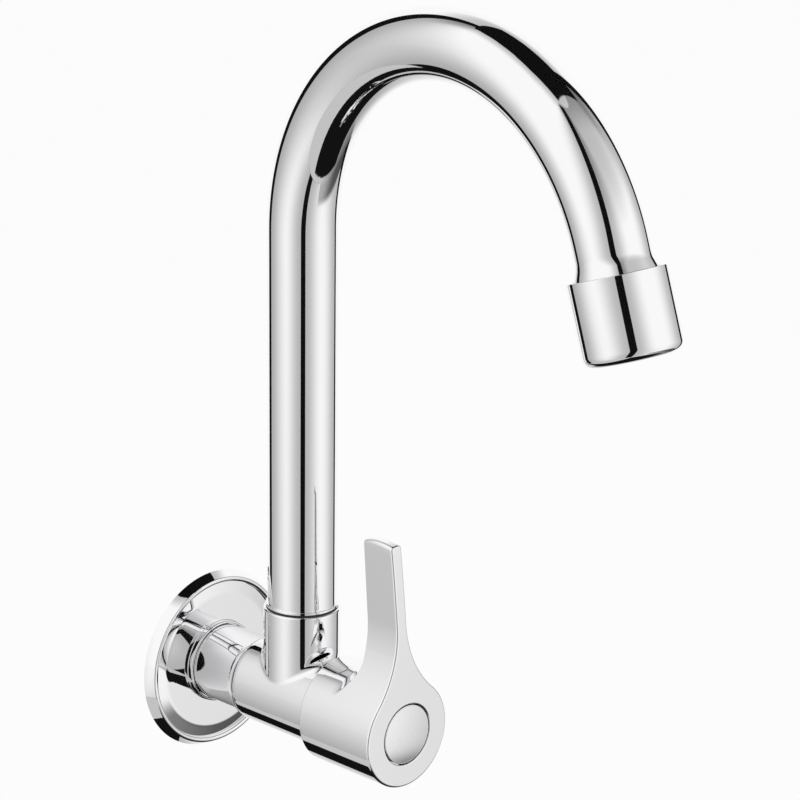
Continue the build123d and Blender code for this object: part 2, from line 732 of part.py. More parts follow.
def spout_foot():
    """The brass foot brazed into the tube: collar, spigot, ring grooves and the retainer's groove."""
    foot = rod(foot_r, foot_end, collar_seat)
    collar = rod(foot_collar_r, collar_seat, tube_foot)
    foot += fillet(collar.edges().group_by(Axis.Z)[-1], FOOT_COLLAR_ROUND)
    foot += rod(tube_bore_r, tube_foot, tube_foot + FOOT_PLUG)
    for height in foot_ring_heights():
        foot -= ring_groove(foot_r, socket_bore_r, FOOT_RING_THICKNESS, FOOT_RING_GROOVE, height)
    low = retainer_foot - 2 * RING_FIT
    high = retainer_foot + RETAINER_T + 2 * RING_FIT
    floor = socket_bore_r - RETAINER_WIDTH / 2 - RUN_FIT
    foot -= ring(foot_r + THREAD_CHAMFER, floor, low, high)
    foot -= rod(foot_bore_r, foot_end, tube_foot + FOOT_PLUG)
    return on_spout(foot)


def foot_ring_heights():
    """The heights of the spout foot's two sealing rings."""
    first = foot_end + FOOT_RING_FIRST
    return (first, first + FOOT_RING_STEP)


def foot_ring(height):
    """One sealing ring of the spout's foot."""
    return on_spout(sealing_ring(socket_bore_r, FOOT_RING_THICKNESS, height))


def retaining_ring():
    """The split ring, half in the socket's groove and half in the foot's."""
    inner = socket_bore_r - RETAINER_WIDTH / 2
    split = ring(inner + RETAINER_WIDTH, inner, retainer_foot, retainer_foot + RETAINER_T)
    reach = HOUSING_R + COLLAR_R
    opening = sector(reach, 0, RETAINER_OPENING, 90, retainer_foot, retainer_foot + RETAINER_T)
    return on_riser(split - opening)


def swivel_washer():
    """The dark plastic washer on the socket's rim, under the foot's collar."""
    return on_riser(ring(swivel_washer_r, foot_r + RUN_FIT, SOCKET_TOP, SOCKET_TOP + SWIVEL_WASHER_T))


def outlet_ferrule():
    """The threaded brass ferrule brazed into the spout's mouth."""
    ferrule = rod(mouth_bore_r - SEAT_FIT, -MOUTH_LAND, 0)
    ferrule += rod(OUTLET_THREAD_R, 0, OUTLET_THREAD_LENGTH)
    return at_mouth(ferrule - rod(FERRULE_BORE_R, -MOUTH_LAND, OUTLET_THREAD_LENGTH))


def aerator_shell():
    """The nozzle: a plain sleeve, rounded at its lower edge, with an inner lip."""
    lower = (shell_r, SHELL_LENGTH - SHELL_ROUND)
    corner = (shell_r - SHELL_ROUND, SHELL_LENGTH)
    edge = arc_about((corner[0], lower[1]), lower, corner)
    rest = Polyline(
        corner,
        (shell_mouth_r, SHELL_LENGTH),
        (shell_mouth_r, shell_lip),
        (shell_bore_r, shell_lip),
        (shell_bore_r, SEAT_FIT),
        (shell_r, SEAT_FIT),
        lower,
    )
    return at_mouth(turned_from(edge, rest))


def aerator_washer():
    """The flat rubber washer that the ferrule presses on the aerator."""
    outer = shell_bore_r - AERATOR_GAP
    return at_mouth(ring(outer, FERRULE_BORE_R, washer_place, washer_place + NOZZLE_WASHER_T))


def aerator_body():
    """The aerator's plastic sleeve: flange, two inner ledges and a row of air slots."""
    body = turned(
        (aerator_bore_r, aerator_foot),
        (shell_bore_r - AERATOR_GAP, aerator_foot),
        (shell_bore_r - AERATOR_GAP, upper_ledge),
        (AERATOR_SLEEVE_R, upper_ledge),
        (AERATOR_SLEEVE_R, aerator_end),
        (aerator_bore_r - AERATOR_LEDGE, aerator_end),
        (aerator_bore_r - AERATOR_LEDGE, lower_ledge),
        (aerator_bore_r, lower_ledge),
        (aerator_bore_r, upper_ledge + AERATOR_LEDGE_T),
        (aerator_bore_r - AERATOR_LEDGE, upper_ledge + AERATOR_LEDGE_T),
        (aerator_bore_r - AERATOR_LEDGE, upper_ledge),
        (aerator_bore_r, upper_ledge),
    )
    slot = extrude(Rectangle(AERATOR_SLEEVE_R, AIR_SLOT_WIDTH), AIR_SLOT_HEIGHT)
    slot_foot = upper_ledge + 2 * AERATOR_LEDGE_T
    for step in range(AIR_SLOTS):
        body -= Rot(0, 0, step * 360 / AIR_SLOTS) * Pos(AERATOR_SLEEVE_R, 0, slot_foot) * slot
    return at_mouth(body)


def flow_plate():
    """The plate that splits the water into fine jets, on the upper ledge."""
    outer = aerator_bore_r - SEAT_FIT
    plate = Circle(outer) - hole_field(Circle(FLOW_HOLE_R), FLOW_HOLE_PITCH, outer - FLOW_HOLE_PITCH / 2)
    return at_mouth(Pos(0, 0, upper_ledge - FLOW_PLATE_T) * extrude(plate, FLOW_PLATE_T))


def outlet_grille():
    """The honeycomb that straightens the jet, on the lower ledge."""
    outer = aerator_bore_r - SEAT_FIT
    cell = RegularPolygon(GRILLE_CELL / 2, 6, major_radius=False, rotation=30)
    grille = Circle(outer) - hole_field(cell, GRILLE_PITCH, outer - AERATOR_LEDGE - GRILLE_PITCH / 2)
    return at_mouth(Pos(0, 0, lower_ledge - GRILLE_T) * extrude(grille, GRILLE_T))


def aerator_screen():
    """The steel mesh that lies on the honeycomb."""
    outer = aerator_bore_r - SEAT_FIT
    reach = outer - AERATOR_LEDGE - SCREEN_PITCH / 2
    count = int(reach / SCREEN_PITCH)
    mesh = Circle(outer)
    for row in range(-count, count + 1):
        for column in range(-count, count + 1):
            if math.hypot(row, column) * SCREEN_PITCH <= reach:
                mesh -= Pos(column * SCREEN_PITCH, row * SCREEN_PITCH) * Rectangle(SCREEN_HOLE, SCREEN_HOLE)
    return at_mouth(Pos(0, 0, lower_ledge - GRILLE_T - SEAT_FIT - SCREEN_T) * extrude(mesh, SCREEN_T))


def all_pieces():
    """Every piece by its name."""
    makers = (
        body_casting,
        wall_flange,
        flange_gasket,
        inlet_strainer,
        seat_seal,
        fixed_disc,
        cartridge_housing,
        headwork_gasket,
        retaining_ring,
        swivel_washer,
        moving_disc,
        spindle,
        glide_washer,
        spindle_clip,
        handle,
        handle_screw,
        index_button,
        spout_tube,
        spout_foot,
        outlet_ferrule,
        aerator_shell,
        aerator_washer,
        aerator_body,
        flow_plate,
        aerator_screen,
        outlet_grille,
    )
    pieces = {maker.__name__: maker() for maker in makers}
    for place, height in zip(("inner", "outer"), spindle_ring_heights()):
        pieces[f"spindle_o_ring_{place}"] = spindle_ring(height)
    for place, height in zip(("lower", "upper"), foot_ring_heights()):
        pieces[f"spout_o_ring_{place}"] = foot_ring(height)
    return pieces


os.makedirs("parts", exist_ok=True)
for name, piece in all_pieces().items():
    export_step(piece, f"parts/{name}.step")
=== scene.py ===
"""A wall-mounted kitchen tap in polished chrome, dressed for its studio picture.

The packed solids are the frame. The chromed pieces and the spout's foot are made again as smooth
surfaces, because a mirror finish shows every facet, and the other solids only get their finish.
All lengths are metres, in the frame of the solids: the wall is at y = 0 and +Z is up.
"""

import json
import math

import bmesh
import bpy
import numpy as np
from bpy.props import FloatProperty, FloatVectorProperty, PointerProperty, StringProperty
from bpy.types import Operator, Panel, PropertyGroup
from mathutils import Matrix, Vector


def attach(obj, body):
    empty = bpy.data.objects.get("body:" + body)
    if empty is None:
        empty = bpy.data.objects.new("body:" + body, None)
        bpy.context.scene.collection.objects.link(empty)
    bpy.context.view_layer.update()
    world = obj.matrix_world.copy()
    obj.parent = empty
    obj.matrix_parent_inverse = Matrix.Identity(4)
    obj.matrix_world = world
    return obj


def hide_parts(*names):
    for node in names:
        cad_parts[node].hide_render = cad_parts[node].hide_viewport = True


bl_info = {
    "name": "Wall-mounted kitchen tap",
    "version": (1, 0, 0),
    "blender": (4, 5, 0),
    "location": "View3D > Sidebar > Tap",
    "description": "Makes the chromed pieces, finishes and studio of a wall-mounted kitchen tap",
    "category": "Add Mesh",
}

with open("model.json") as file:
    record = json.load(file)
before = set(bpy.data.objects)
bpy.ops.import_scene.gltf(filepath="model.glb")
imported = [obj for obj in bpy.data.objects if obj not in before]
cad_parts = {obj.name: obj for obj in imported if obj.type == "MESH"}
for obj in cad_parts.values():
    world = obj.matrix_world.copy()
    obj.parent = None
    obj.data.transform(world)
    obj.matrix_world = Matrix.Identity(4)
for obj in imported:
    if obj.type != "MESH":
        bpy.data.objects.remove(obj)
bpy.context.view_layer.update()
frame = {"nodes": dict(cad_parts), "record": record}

MM = 0.001
ROUND_COUNT = 192  # faces round the larger turned pieces
EDGE_GUARD = 0.08 * MM  # how close to a rounding the flat beside it gets its first row
SHARP_ANGLE = 32.0  # degrees between faces that stay a crisp edge
WELD = 2e-6  # points closer than this become one
SLIVER = 1e-7  # an edge shorter than this is taken away
SENSOR_WIDTH = 36  # millimetres


# Sizes and colours that a user may change


def length(name, description, default):
    """A length that a user may change, in metres."""
    return FloatProperty(name=name, description=description, default=default, unit="LENGTH", precision=5)


def turn(name, description, default):
    """An angle that a user may change, in radians."""
    return FloatProperty(name=name, description=description, default=default, subtype="ANGLE")


def number(name, description, default):
    """A plain number that a user may change."""
    return FloatProperty(name=name, description=description, default=default)


def colour(name, description, default):
    """A colour that a user may change, as an sRGB hex value."""
    return StringProperty(name=name, description=description, default=default)


class BodySizes(PropertyGroup):
    """Sizes of the cast body."""

    riser_out: length("Riser from wall", "Distance of the riser's axis from the wall", 0.0424)
    thread_radius: length("Inlet thread radius", "Outside radius of the inlet's G1/2 thread", 0.01048)
    thread_length: length("Inlet length", "Length of the threaded end behind the wall plane", 0.016)
    thread_chamfer: length("Inlet chamfer", "Chamfer at the tip of the threaded end", 0.001)
    thread_pitch: length("Inlet thread pitch", "Pitch of the inlet's thread", 0.001814)
    thread_depth: length("Inlet thread depth", "Depth of the inlet's thread", 0.001)
    shank_start: length("Shank start", "Where the plain shank starts, from the wall", 0.0005)
    shank_radius: length("Shank radius", "Outside radius of the plain shank", 0.0125)
    shoulder_start: length("Shoulder start", "Where the rounded shoulder leaves the shank", 0.021)
    shoulder_end: length("Shoulder end", "Where the shoulder meets the barrel", 0.026)
    barrel_radius: length("Barrel radius", "Outside radius of the barrel", 0.014)
    barrel_end: length("Barrel end", "Front end of the barrel, from the wall", 0.062)
    barrel_chamfer: length("Barrel chamfer", "Chamfer at the barrel's front end", 0.0005)
    headwork_radius: length("Headwork thread radius", "Radius of the bore for the headwork's thread", 0.0105)
    chamber_radius: length("Chamber radius", "Radius of the valve chamber", 0.0097)
    chamber_end: length("Chamber end", "Where the chamber meets the headwork's thread", 0.05)
    seat: length("Seat", "Distance of the valve seat from the wall", 0.03)
    waterway_radius: length("Waterway radius", "Radius of the inlet waterway", 0.006)
    strainer_radius: length("Strainer radius", "Radius of the recess for the inlet strainer", 0.00815)
    strainer_depth: length("Strainer depth", "Depth of the recess for the inlet strainer", 0.0016)
    socket_radius: length("Socket radius", "Outside radius of the upright socket", 0.0123)
    socket_top: length("Socket top", "Height of the socket's rim above the valve axis", 0.03)
    socket_rim: length("Socket rim rounding", "Radius of the rounding on the socket's rim", 0.0007)
    socket_blend: length("Socket blend", "Radius of the blend between socket and barrel", 0.0026)
    socket_bore: length("Socket bore", "Radius of the socket's bore", 0.00938)
    socket_floor: length("Socket floor", "Height of the socket's floor above the valve axis", 0.012)
    groove_radius: length("Ring groove radius", "Radius of the groove for the retaining ring", 0.01023)
    groove_low: length("Ring groove foot", "Height of the groove's lower side", 0.02635)
    groove_high: length("Ring groove top", "Height of the groove's upper side", 0.02745)
    outlet_radius: length("Outlet radius", "Radius of the passage from chamber to socket", 0.0065)


class FlangeSizes(PropertyGroup):
    """Sizes of the pressed wall flange."""

    rim_radius: length("Rim radius", "Radius of the flange at the wall", 0.0297)
    face: length("Face", "Distance of the flat face from the wall", 0.003)
    taper: length("Taper", "How much the edge draws in towards the face", 0.0015)
    sheet: length("Sheet", "Thickness of the sheet", 0.0008)
    flat_radius: length("Flat radius", "Radius of the flat part of the face", 0.0217)
    roll_bend: length("Roll bend", "Length over which the face turns down outside that", 0.0016)
    roll_drop: length("Roll drop", "How far the face has come down at the bead", 0.0006)
    bead_width: length("Bead width", "Width of the bead round the face", 0.0017)
    bead_height: length("Bead height", "Height of the bead above the face", 0.00055)
    lip_bore: length("Lip bore", "Bore of the lip round the shank", 0.0126)
    lip_wall: length("Lip wall", "Thickness of the lip", 0.0009)
    lip_height: length("Lip height", "Height of the lip above the face", 0.0019)


class SpoutSizes(PropertyGroup):
    """Sizes of the bent spout tube."""

    tube_radius: length("Tube radius", "Outside radius of the tube", 0.011)
    tube_wall: length("Tube wall", "Thickness of the tube's wall", 0.001)
    tube_foot: length("Tube foot", "Height of the tube's lower end", 0.03145)
    riser_top: length("Riser top", "Height where the arch starts", 0.153)
    arch_radius: length("Arch radius", "Radius of the tube's centre line in the arch", 0.068)
    arch_turn: turn("Arch turn", "How far round the arch goes", math.radians(160.6))
    mouth_run: length("Mouth run", "Straight run after the arch", 0.0084)
    mouth_radius: length("Mouth radius", "Outside radius of the swaged mouth", 0.0124)
    flare_bend: length("Flare bend", "Length over which the wall turns outwards", 0.0026)
    flare_cone: length("Flare cone", "Length of the straight cone from there to the mouth", 0.0027)
    rest_turn: turn("Rest turn", "The spout's turn from square to the wall at rest", math.radians(-3.5))


class FootSizes(PropertyGroup):
    """Sizes of the spout's foot."""

    radius: length("Foot radius", "Outside radius of the spigot", 0.0093)
    bore: length("Bore", "Bore of the foot", 0.0065)
    end: length("End", "Height of the spigot's lower end", 0.013)
    plug_top: length("Plug top", "Height of the plug's top", 0.04295)
    collar_radius: length("Collar radius", "Outside radius of the collar", 0.0116)
    collar_foot: length("Collar foot", "Height of the collar's lower face", 0.03065)
    collar_round: length("Collar rounding", "Radius of the collar's rounded top edge", 0.00035)
    ring_groove: length("Ring groove width", "Width of a sealing ring's groove", 0.0024)
    ring_floor: length("Ring groove floor", "Radius of a sealing ring groove's floor", 0.00748)
    lower_ring: length("Lower ring", "Height of the lower sealing ring", 0.0155)
    upper_ring: length("Upper ring", "Height of the upper sealing ring", 0.0205)
    retainer_low: length("Retainer groove foot", "Lower side of the retaining ring's groove", 0.0263)
    retainer_high: length("Retainer groove top", "Upper side of the retaining ring's groove", 0.0275)
    retainer_floor: length("Retainer groove floor", "Radius of that groove's floor", 0.0085)


class NozzleSizes(PropertyGroup):
    """Sizes of the nozzle sleeve."""

    top: length("Top", "Gap between the tube's mouth and the sleeve", 0.00002)
    sleeve_length: length("Length", "Distance from the tube's mouth to the sleeve's end", 0.0243)
    radius: length("Radius", "Outside radius of the sleeve", 0.0146)
    bore: length("Bore", "Bore of the sleeve", 0.012)
    mouth: length("Mouth", "Radius of the opening within the lower lip", 0.0102)
    lip: length("Lip", "Thickness of the lower lip", 0.0015)
    rounding: length("Rounding", "Radius of the rounded lower edge", 0.003)


class HandleSizes(PropertyGroup):
    """Sizes of the lever handle."""

    hub_radius: length("Hub radius", "Outside radius of the hub", 0.01725)
    hub_length: length("Hub length", "Length of the hub from face to rear edge", 0.0307)
    face: length("Face", "Distance of the front face from the wall", 0.0898)
    top: length("Lever top", "Height of the lever's tip above the valve axis", 0.0638)
    half_width: length("Half width", "Half the width of the lever's stem", 0.00215)
    depth: length("Lever depth", "Thickness of the lever from face to back", 0.013)
    flare: length("Flare", "Radius of the flare between stem and hub", 0.036)
    cove: length("Cove", "Radius of the cove behind the lever", 0.0065)
    crown_start: length("Crown start", "Height where the face starts to lean back", 0.025)
    crown: length("Crown", "How far the face has leant back at the tip", 0.001)
    edge: length("Edge", "Radius of the rounded front edge", 0.0007)
    corner: length("Corner", "Radius of the rounded corners at the tip", 0.0013)
    tip_peak: length("Tip peak", "Depth behind the face where the lever's top is highest", 0.0085)
    tip_drop: length("Tip drop", "How far the top's front and back ends lie below that", 0.0009)
    tip_run: length("Tip run", "Length of the lever below its top that is drawn down with it", 0.006)
    rear_edge: length("Rear edge", "Radius of the rounded rear edge of the hub", 0.0004)
    skirt_bore: length("Skirt bore", "Bore of the hollow skirt at its rear edge", 0.0154)
    skirt_end_bore: length("Skirt end bore", "Bore of the hollow skirt at the web", 0.015)
    web_back: length("Web back", "Depth of the web's rear side behind the face", 0.0064)
    boss_radius: length("Boss radius", "Radius of the boss round the spindle", 0.0068)
    boss_back: length("Boss back", "Depth of the boss behind the face", 0.01367)
    spline_radius: length("Spline radius", "Mean radius of the spline's bore", 0.00388)
    screw_hole: length("Screw hole", "Radius of the screw's hole", 0.0022)
    well_radius: length("Well radius", "Radius of the well for the button", 0.00995)
    well_edge: length("Well edge", "Radius of the rounding at the well's mouth", 0.0004)
    well_depth: length("Well depth", "Depth of the well for the button", 0.0042)
    lean: turn("Lean", "The lever's lean to the left at its closed stop", math.radians(4.2))


class ButtonSizes(PropertyGroup):
    """Sizes of the domed index button."""

    radius: length("Radius", "Outside radius of the button", 0.0096)
    rim: length("Rim", "Distance of the dome's rim from the wall", 0.08965)
    rise: length("Rise", "Rise of the dome above its rim", 0.0005)
    wall: length("Wall", "Thickness of the button's wall", 0.0012)
    skirt: length("Skirt", "Length of the button's skirt", 0.0034)
    edge: length("Edge", "Radius of the rounding at the rim", 0.0006)


class FinishColours(PropertyGroup):
    """Colours of the finishes, as sRGB hex values."""

    chrome: colour("Chrome plate", "Polished chrome plate", "#F8F8F9")
    # The casting colour is darker than the bare metal: it paints the shade inside the handle's hollow skirt.
    casting: colour("Casting", "Thinly plated inside of the handle", "#47494D")
    brass: colour("Brass", "Machined brass", "#C9A65A")
    steel: colour("Stainless steel", "Pickled stainless steel", "#B9B9B6")
    ceramic: colour("Alumina", "Lapped alumina ceramic", "#F2F0E8")
    rubber: colour("Rubber", "Black nitrile rubber", "#18181A")
    foam: colour("Foam", "Closed-cell foam rubber", "#46464A")
    fibre: colour("Fibre", "Pressed fibre sheet", "#7A4028")
    dark_acetal: colour("Dark acetal", "Dark moulded acetal", "#202124")
    white_acetal: colour("White acetal", "Natural moulded acetal", "#E2E2DC")


class StageSizes(PropertyGroup):
    """The studio: floor, surroundings, black cloths, lamp and camera."""

    floor_height: length("Floor height", "Height of the floor, as below a kitchen tap", -1.1)
    floor_reach: length("Floor reach", "Half the side of the floor", 12.0)
    floor_white: number("Floor white", "Share of the floor's white that takes no shadow", 0.88)
    plain_level: number("Plain level", "Strength of the world's light on the object", 0.85)
    lamp_place: FloatVectorProperty(
        name="Lamp place", description="Middle of the soft lamp", default=(-1.2, -1.0, 1.6), unit="LENGTH"
    )
    lamp_size: length("Lamp size", "Side of the soft lamp", 1.2)
    lamp_power: number("Lamp power", "Power of the soft lamp in watts", 8.0)
    flag_distance: length("Flag distance", "Distance of the upright flags from the riser", 1.3)
    flag_top: length("Flag top", "Height of the upright flags' upper end and of the cloths overhead", 3.6)
    overhead_left: length("Overhead left", "Left edge of the overhead flag, from the riser", -0.65)
    overhead_slant: length("Overhead slant", "How far behind the riser that edge starts to slant", 0.1)
    overhead_tip: length("Overhead tip", "Where the slanted edge meets the back edge, from the riser", 0.1)
    overhead_right: length("Overhead right", "Right edge of the overhead flag, from the riser", 2.7)
    overhead_front: length("Overhead front", "Front edge of the overhead flag, from the riser", -0.9)
    overhead_back: length("Overhead back", "Back edge of the overhead flag, from the riser", 2.0)
    overhead_fade: length("Overhead fade", "How far it thins out beyond its back and right edges", 2.5)
    overhead_soft: length("Overhead soft", "How far it thins out beyond its front and left edges", 1.2)
    overhead_edge: number("Overhead edge", "Density where the overhead flag starts to thin out", 0.45)
    canopy_start: length("Canopy start", "Distance from the riser where the thin canopy starts", 1.2)
    canopy_end: length("Canopy end", "Distance from the riser where the thin canopy has faded out", 9.0)
    canopy_density: number("Canopy density", "Density of the canopy's cloth where it starts", 0.5)
    floor_cloth_front: length("Floor cloth front", "Radius of the whole cloth's front, round the riser", 1.15)
    floor_cloth_outer: length("Floor cloth outer", "Radius where the apron starts to thin out", 1.75)
    floor_cloth_rim: length("Floor cloth rim", "How far the apron takes to thin out", 0.4)
    floor_cloth_back: length("Floor cloth back", "Its tip behind the riser", 2.2)
    floor_cloth_left: length("Floor cloth left", "Left corner of the floor cloth, from the riser", -0.85)
    floor_cloth_right: length("Floor cloth right", "Right corner of the floor cloth, from the riser", 1.35)
    floor_cloth_apron: length("Floor cloth apron", "Right edge of the thin cloth before it", 1.8)
    floor_cloth_tip: length("Floor cloth tip", "How far right of the riser its tip is", -0.1)
    floor_cloth_fade: length("Floor cloth fade", "How far it thins out beyond its right edge", 2.0)
    floor_cloth_edge: number("Floor cloth edge", "Density where the floor cloth starts to thin out", 0.6)
    floor_cloth_thin: number("Floor cloth thin", "Density of the thin cloth on its left", 0.42)
    floor_cloth_dense: number("Floor cloth dense", "Density of the apron at its right corner", 0.86)
    camera_azimuth: turn("Camera azimuth", "Turn of the camera round the tap", math.radians(-45.37))
    camera_elevation: turn("Camera elevation", "Elevation of the camera", math.radians(17.61))
    camera_roll: turn("Camera roll", "Roll of the camera", math.radians(0.61))
    camera_distance: length("Camera distance", "Distance of the camera from its target", 1.1182)
    camera_target: FloatVectorProperty(
        name="Camera target",
        description="Point that the camera looks at",
        default=(0.04316, -0.04242, 0.08864),
        unit="LENGTH",
        precision=5,
    )
    camera_lens: number("Lens", "Focal length in millimetres on a 36 mm sensor", 157.185)


SIZE_GROUPS = {
    "tap_body": BodySizes,
    "tap_flange": FlangeSizes,
    "tap_spout": SpoutSizes,
    "tap_foot": FootSizes,
    "tap_nozzle": NozzleSizes,
    "tap_handle": HandleSizes,
    "tap_button": ButtonSizes,
    "tap_finish": FinishColours,
    "tap_stage": StageSizes,
}


# Profiles and grids of points


def rounded(corners, steps=8, closed=True):
    """A profile of straight runs whose corners are rounded.

    Each corner is (radius, height, rounding). A rounding is the circle tangent to both runs, drawn
    from one touching point to the other, with one more point on each run just beside it.
    """
    spots = np.array([corner[:2] for corner in corners], float)
    count = len(spots)
    points = []
    for i, (_, _, radius) in enumerate(corners):
        here = spots[i]
        if radius == 0 or (not closed and i in (0, count - 1)):
            points.append(here[None])
            continue
        back = spots[i - 1] - here
        ahead = spots[(i + 1) % count] - here
        back /= np.linalg.norm(back)
        ahead /= np.linalg.norm(ahead)
        half = np.arccos(np.clip(back @ ahead, -1, 1)) / 2
        reach = radius / np.tan(half)
        bisector = (back + ahead) / np.linalg.norm(back + ahead)
        centre = here + bisector * radius / np.sin(half)
        first = here + back * reach - centre
        last = here + ahead * reach - centre
        arc = slerp(first[None], last[None], np.linspace(0, 1, steps + 1)[:, None])
        before = here + back * (reach + EDGE_GUARD)
        after = here + ahead * (reach + EDGE_GUARD)
        points += [before[None], centre + arc, after[None]]
    return np.concatenate(points)


def slerp(first, last, share):
    """Turn one direction into another at an even rate, keeping its length."""
    size = np.linalg.norm(first, axis=-1, keepdims=True) * np.linalg.norm(last, axis=-1, keepdims=True)
    cosine = (first * last).sum(-1, keepdims=True) / size
    angle = np.arccos(np.clip(cosine, -1, 1))
    return (np.sin((1 - share) * angle) * first + np.sin(share * angle) * last) / np.sin(angle)


def turned(profile, angles):
    """A profile of (radius, height) carried round an axis: (r cos a, r sin a, h) for every angle a."""
    radius = profile[:, :1]
    height = profile[:, 1:2] + 0 * angles
    return np.stack([radius * np.cos(angles), radius * np.sin(angles), height], -1)


def all_round(count=ROUND_COUNT):
    """Evenly spaced angles once round."""
    return np.arange(count) * 2 * np.pi / count


def on_valve_axis(points):
    """Lay points drawn along +Z, counted from the wall, onto the valve's axis: (x, y, z) to (x, -z, y)."""
    return np.stack([points[..., 0], -points[..., 2], points[..., 1]], -1)


def on_riser(points, riser_out, angle=0.0):
    """Stand points on the riser's axis, turned about it by an angle."""
    x = points[..., 0] * np.cos(angle) - points[..., 1] * np.sin(angle)
    y = points[..., 0] * np.sin(angle) + points[..., 1] * np.cos(angle)
    return np.stack([x, y - riser_out, points[..., 2]], -1)


def at_mouth(points, spout, riser_out):
    """Set points at the spout's mouth, with their +Z the way the water leaves, along the arch's end."""
    out = np.array([0, -math.sin(spout.arch_turn), math.cos(spout.arch_turn)])
    across = np.array([0, out[2], -out[1]])
    bend = spout.arch_radius * np.array([0, math.cos(spout.arch_turn) - 1, math.sin(spout.arch_turn)])
    mouth = bend + np.array([0, 0, spout.riser_top]) + out * spout.mouth_run
    side = np.array([1.0, 0, 0])
    local = points[..., :1] * side + points[..., 1:2] * across + points[..., 2:] * out + mouth
    return on_riser(local, riser_out, spout.rest_turn)


def quads(index):
    """The corners of every cell between neighbouring rows and columns of a grid of point numbers."""
    return np.stack([index[:-1, :-1], index[:-1, 1:], index[1:, 1:], index[1:, :-1]], -1).reshape(-1, 4)


def piece_from_grids(name, grids, body, node, finish):
    """One closed piece from grids of points, welded where they meet, with its faces pointing outwards.

    Each grid is (points, wrapped): rows by columns of points, and whether the last column joins the
    first.
    """
    corners = []
    faces = []
    start = 0
    for points, wrapped in grids:
        rows, columns = points.shape[:2]
        index = start + np.arange(rows * columns).reshape(rows, columns)
        if wrapped:
            index = np.concatenate([index, index[:, :1]], 1)
        corners.append(points.reshape(-1, 3))
        faces.append(quads(index))
        start += rows * columns
    mesh = bpy.data.meshes.new(name)
    mesh.from_pydata(np.concatenate(corners), [], np.concatenate(faces))
    shape = bmesh.new()
    shape.from_mesh(mesh)
    bmesh.ops.remove_doubles(shape, verts=shape.verts, dist=WELD)
    bmesh.ops.dissolve_degenerate(shape, edges=shape.edges, dist=SLIVER)
    bmesh.ops.recalc_face_normals(shape, faces=shape.faces)
    shape.to_mesh(mesh)
    shape.free()
    mesh.shade_smooth()
    mesh.set_sharp_from_angle(angle=math.radians(SHARP_ANGLE))
    mesh.materials.append(finish)
    piece = bpy.data.objects.new(name, mesh)
    bpy.context.scene.collection.objects.link(piece)
    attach(piece, body)
    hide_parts(node)
    return piece


# Finishes

PATTERN_RANGE = {"From Min": 0.3, "From Max": 0.7}  # the part of a pattern's range that moves a value


def linear(code):
    """An sRGB hex value as linear red, green and blue with an alpha of 1."""
    parts = [int(code[i : i + 2], 16) / 255 for i in (1, 3, 5)]
    parts = [p / 12.92 if p <= 0.04045 else ((p + 0.055) / 1.055) ** 2.4 for p in parts]
    return (*parts, 1.0)


def add_node(tree, kind, inputs=None, **settings):
    """Add a node, set its properties, and set or link each named input."""
    made = tree.nodes.new(kind)
    for name, value in settings.items():
        setattr(made, name, value)
    for name, value in (inputs or {}).items():
        if isinstance(value, bpy.types.NodeSocket):
            tree.links.new(value, made.inputs[name])
        else:
            made.inputs[name].default_value = value
    return made


def finish_named(name):
    """A new node material with an empty tree, or the one already made, with no tree to fill."""
    if name in bpy.data.materials:
        return bpy.data.materials[name], None
    material = bpy.data.materials.new(name)
    material.use_nodes = True
    material.node_tree.nodes.clear()
    return material, material.node_tree


def grains(tree, size, stretch=(1, 1, 1)):
    """Noise on the piece's own coordinates, with grains of a real size in millimetres."""
    place = add_node(tree, "ShaderNodeTexCoord")
    aligned = add_node(tree, "ShaderNodeMapping", {"Vector": place.outputs["Object"], "Scale": stretch})
    inputs = {"Vector": aligned.outputs[0], "Scale": 1 / (size * MM), "Detail": 3.0}
    return add_node(tree, "ShaderNodeTexNoise", inputs).outputs["Fac"]


def shades(tree, pattern, dark, light):
    """A colour that moves with a pattern between two sRGB hex values."""
    share = add_node(tree, "ShaderNodeMapRange", {"Value": pattern, **PATTERN_RANGE})
    inputs = {0: share.outputs[0], 6: linear(dark), 7: linear(light)}
    return add_node(tree, "ShaderNodeMix", inputs, data_type="RGBA").outputs[2]


def finished(name, inputs):
    """Close a finish with its shader and output."""
    material = bpy.data.materials[name]
    shader = add_node(material.node_tree, "ShaderNodeBsdfPrincipled", inputs)
    add_node(material.node_tree, "ShaderNodeOutputMaterial", {"Surface": shader.outputs["BSDF"]})
    return material


def plated(name, wave, height, haze, rough):
    """Chrome's cold tint over raised waves, with a haze that moves the roughness. Sizes in millimetres."""
    material, tree = finish_named(name)
    if tree is None:
        return material
    bump = add_node(tree, "ShaderNodeBump", {"Height": grains(tree, wave), "Distance": height * MM})
    ends = {"To Min": rough[0], "To Max": rough[1]}
    roughness = add_node(tree, "ShaderNodeMapRange", {"Value": grains(tree, haze), **PATTERN_RANGE, **ends})
    inputs = {"Base Color": linear(bpy.context.scene.tap_finish.chrome), "Metallic": 1.0}
    return finished(name, {**inputs, "Roughness": roughness.outputs[0], "Normal": bump.outputs["Normal"]})


def grained(name, grain, height, clouds, rough, tints, stretch=(1, 1, 1), **shader):
    """A finish with a fine raised grain and large clouds, in millimetres.

    The grain moves the roughness between its two values, and the clouds move the colour between two
    tints. The rest goes to the shader as it is.
    """
    material, tree = finish_named(name)
    if tree is None:
        return material
    pattern = grains(tree, grain, stretch)
    bump = add_node(tree, "ShaderNodeBump", {"Height": pattern, "Distance": height * MM})
    ends = {"To Min": rough[0], "To Max": rough[1]}
    roughness = add_node(tree, "ShaderNodeMapRange", {"Value": pattern, **PATTERN_RANGE, **ends})
    shader["Base Color"] = shades(tree, grains(tree, clouds), *tints)
    shader["Roughness"] = roughness.outputs[0]
    shader["Normal"] = bump.outputs["Normal"]
    return finished(name, shader)


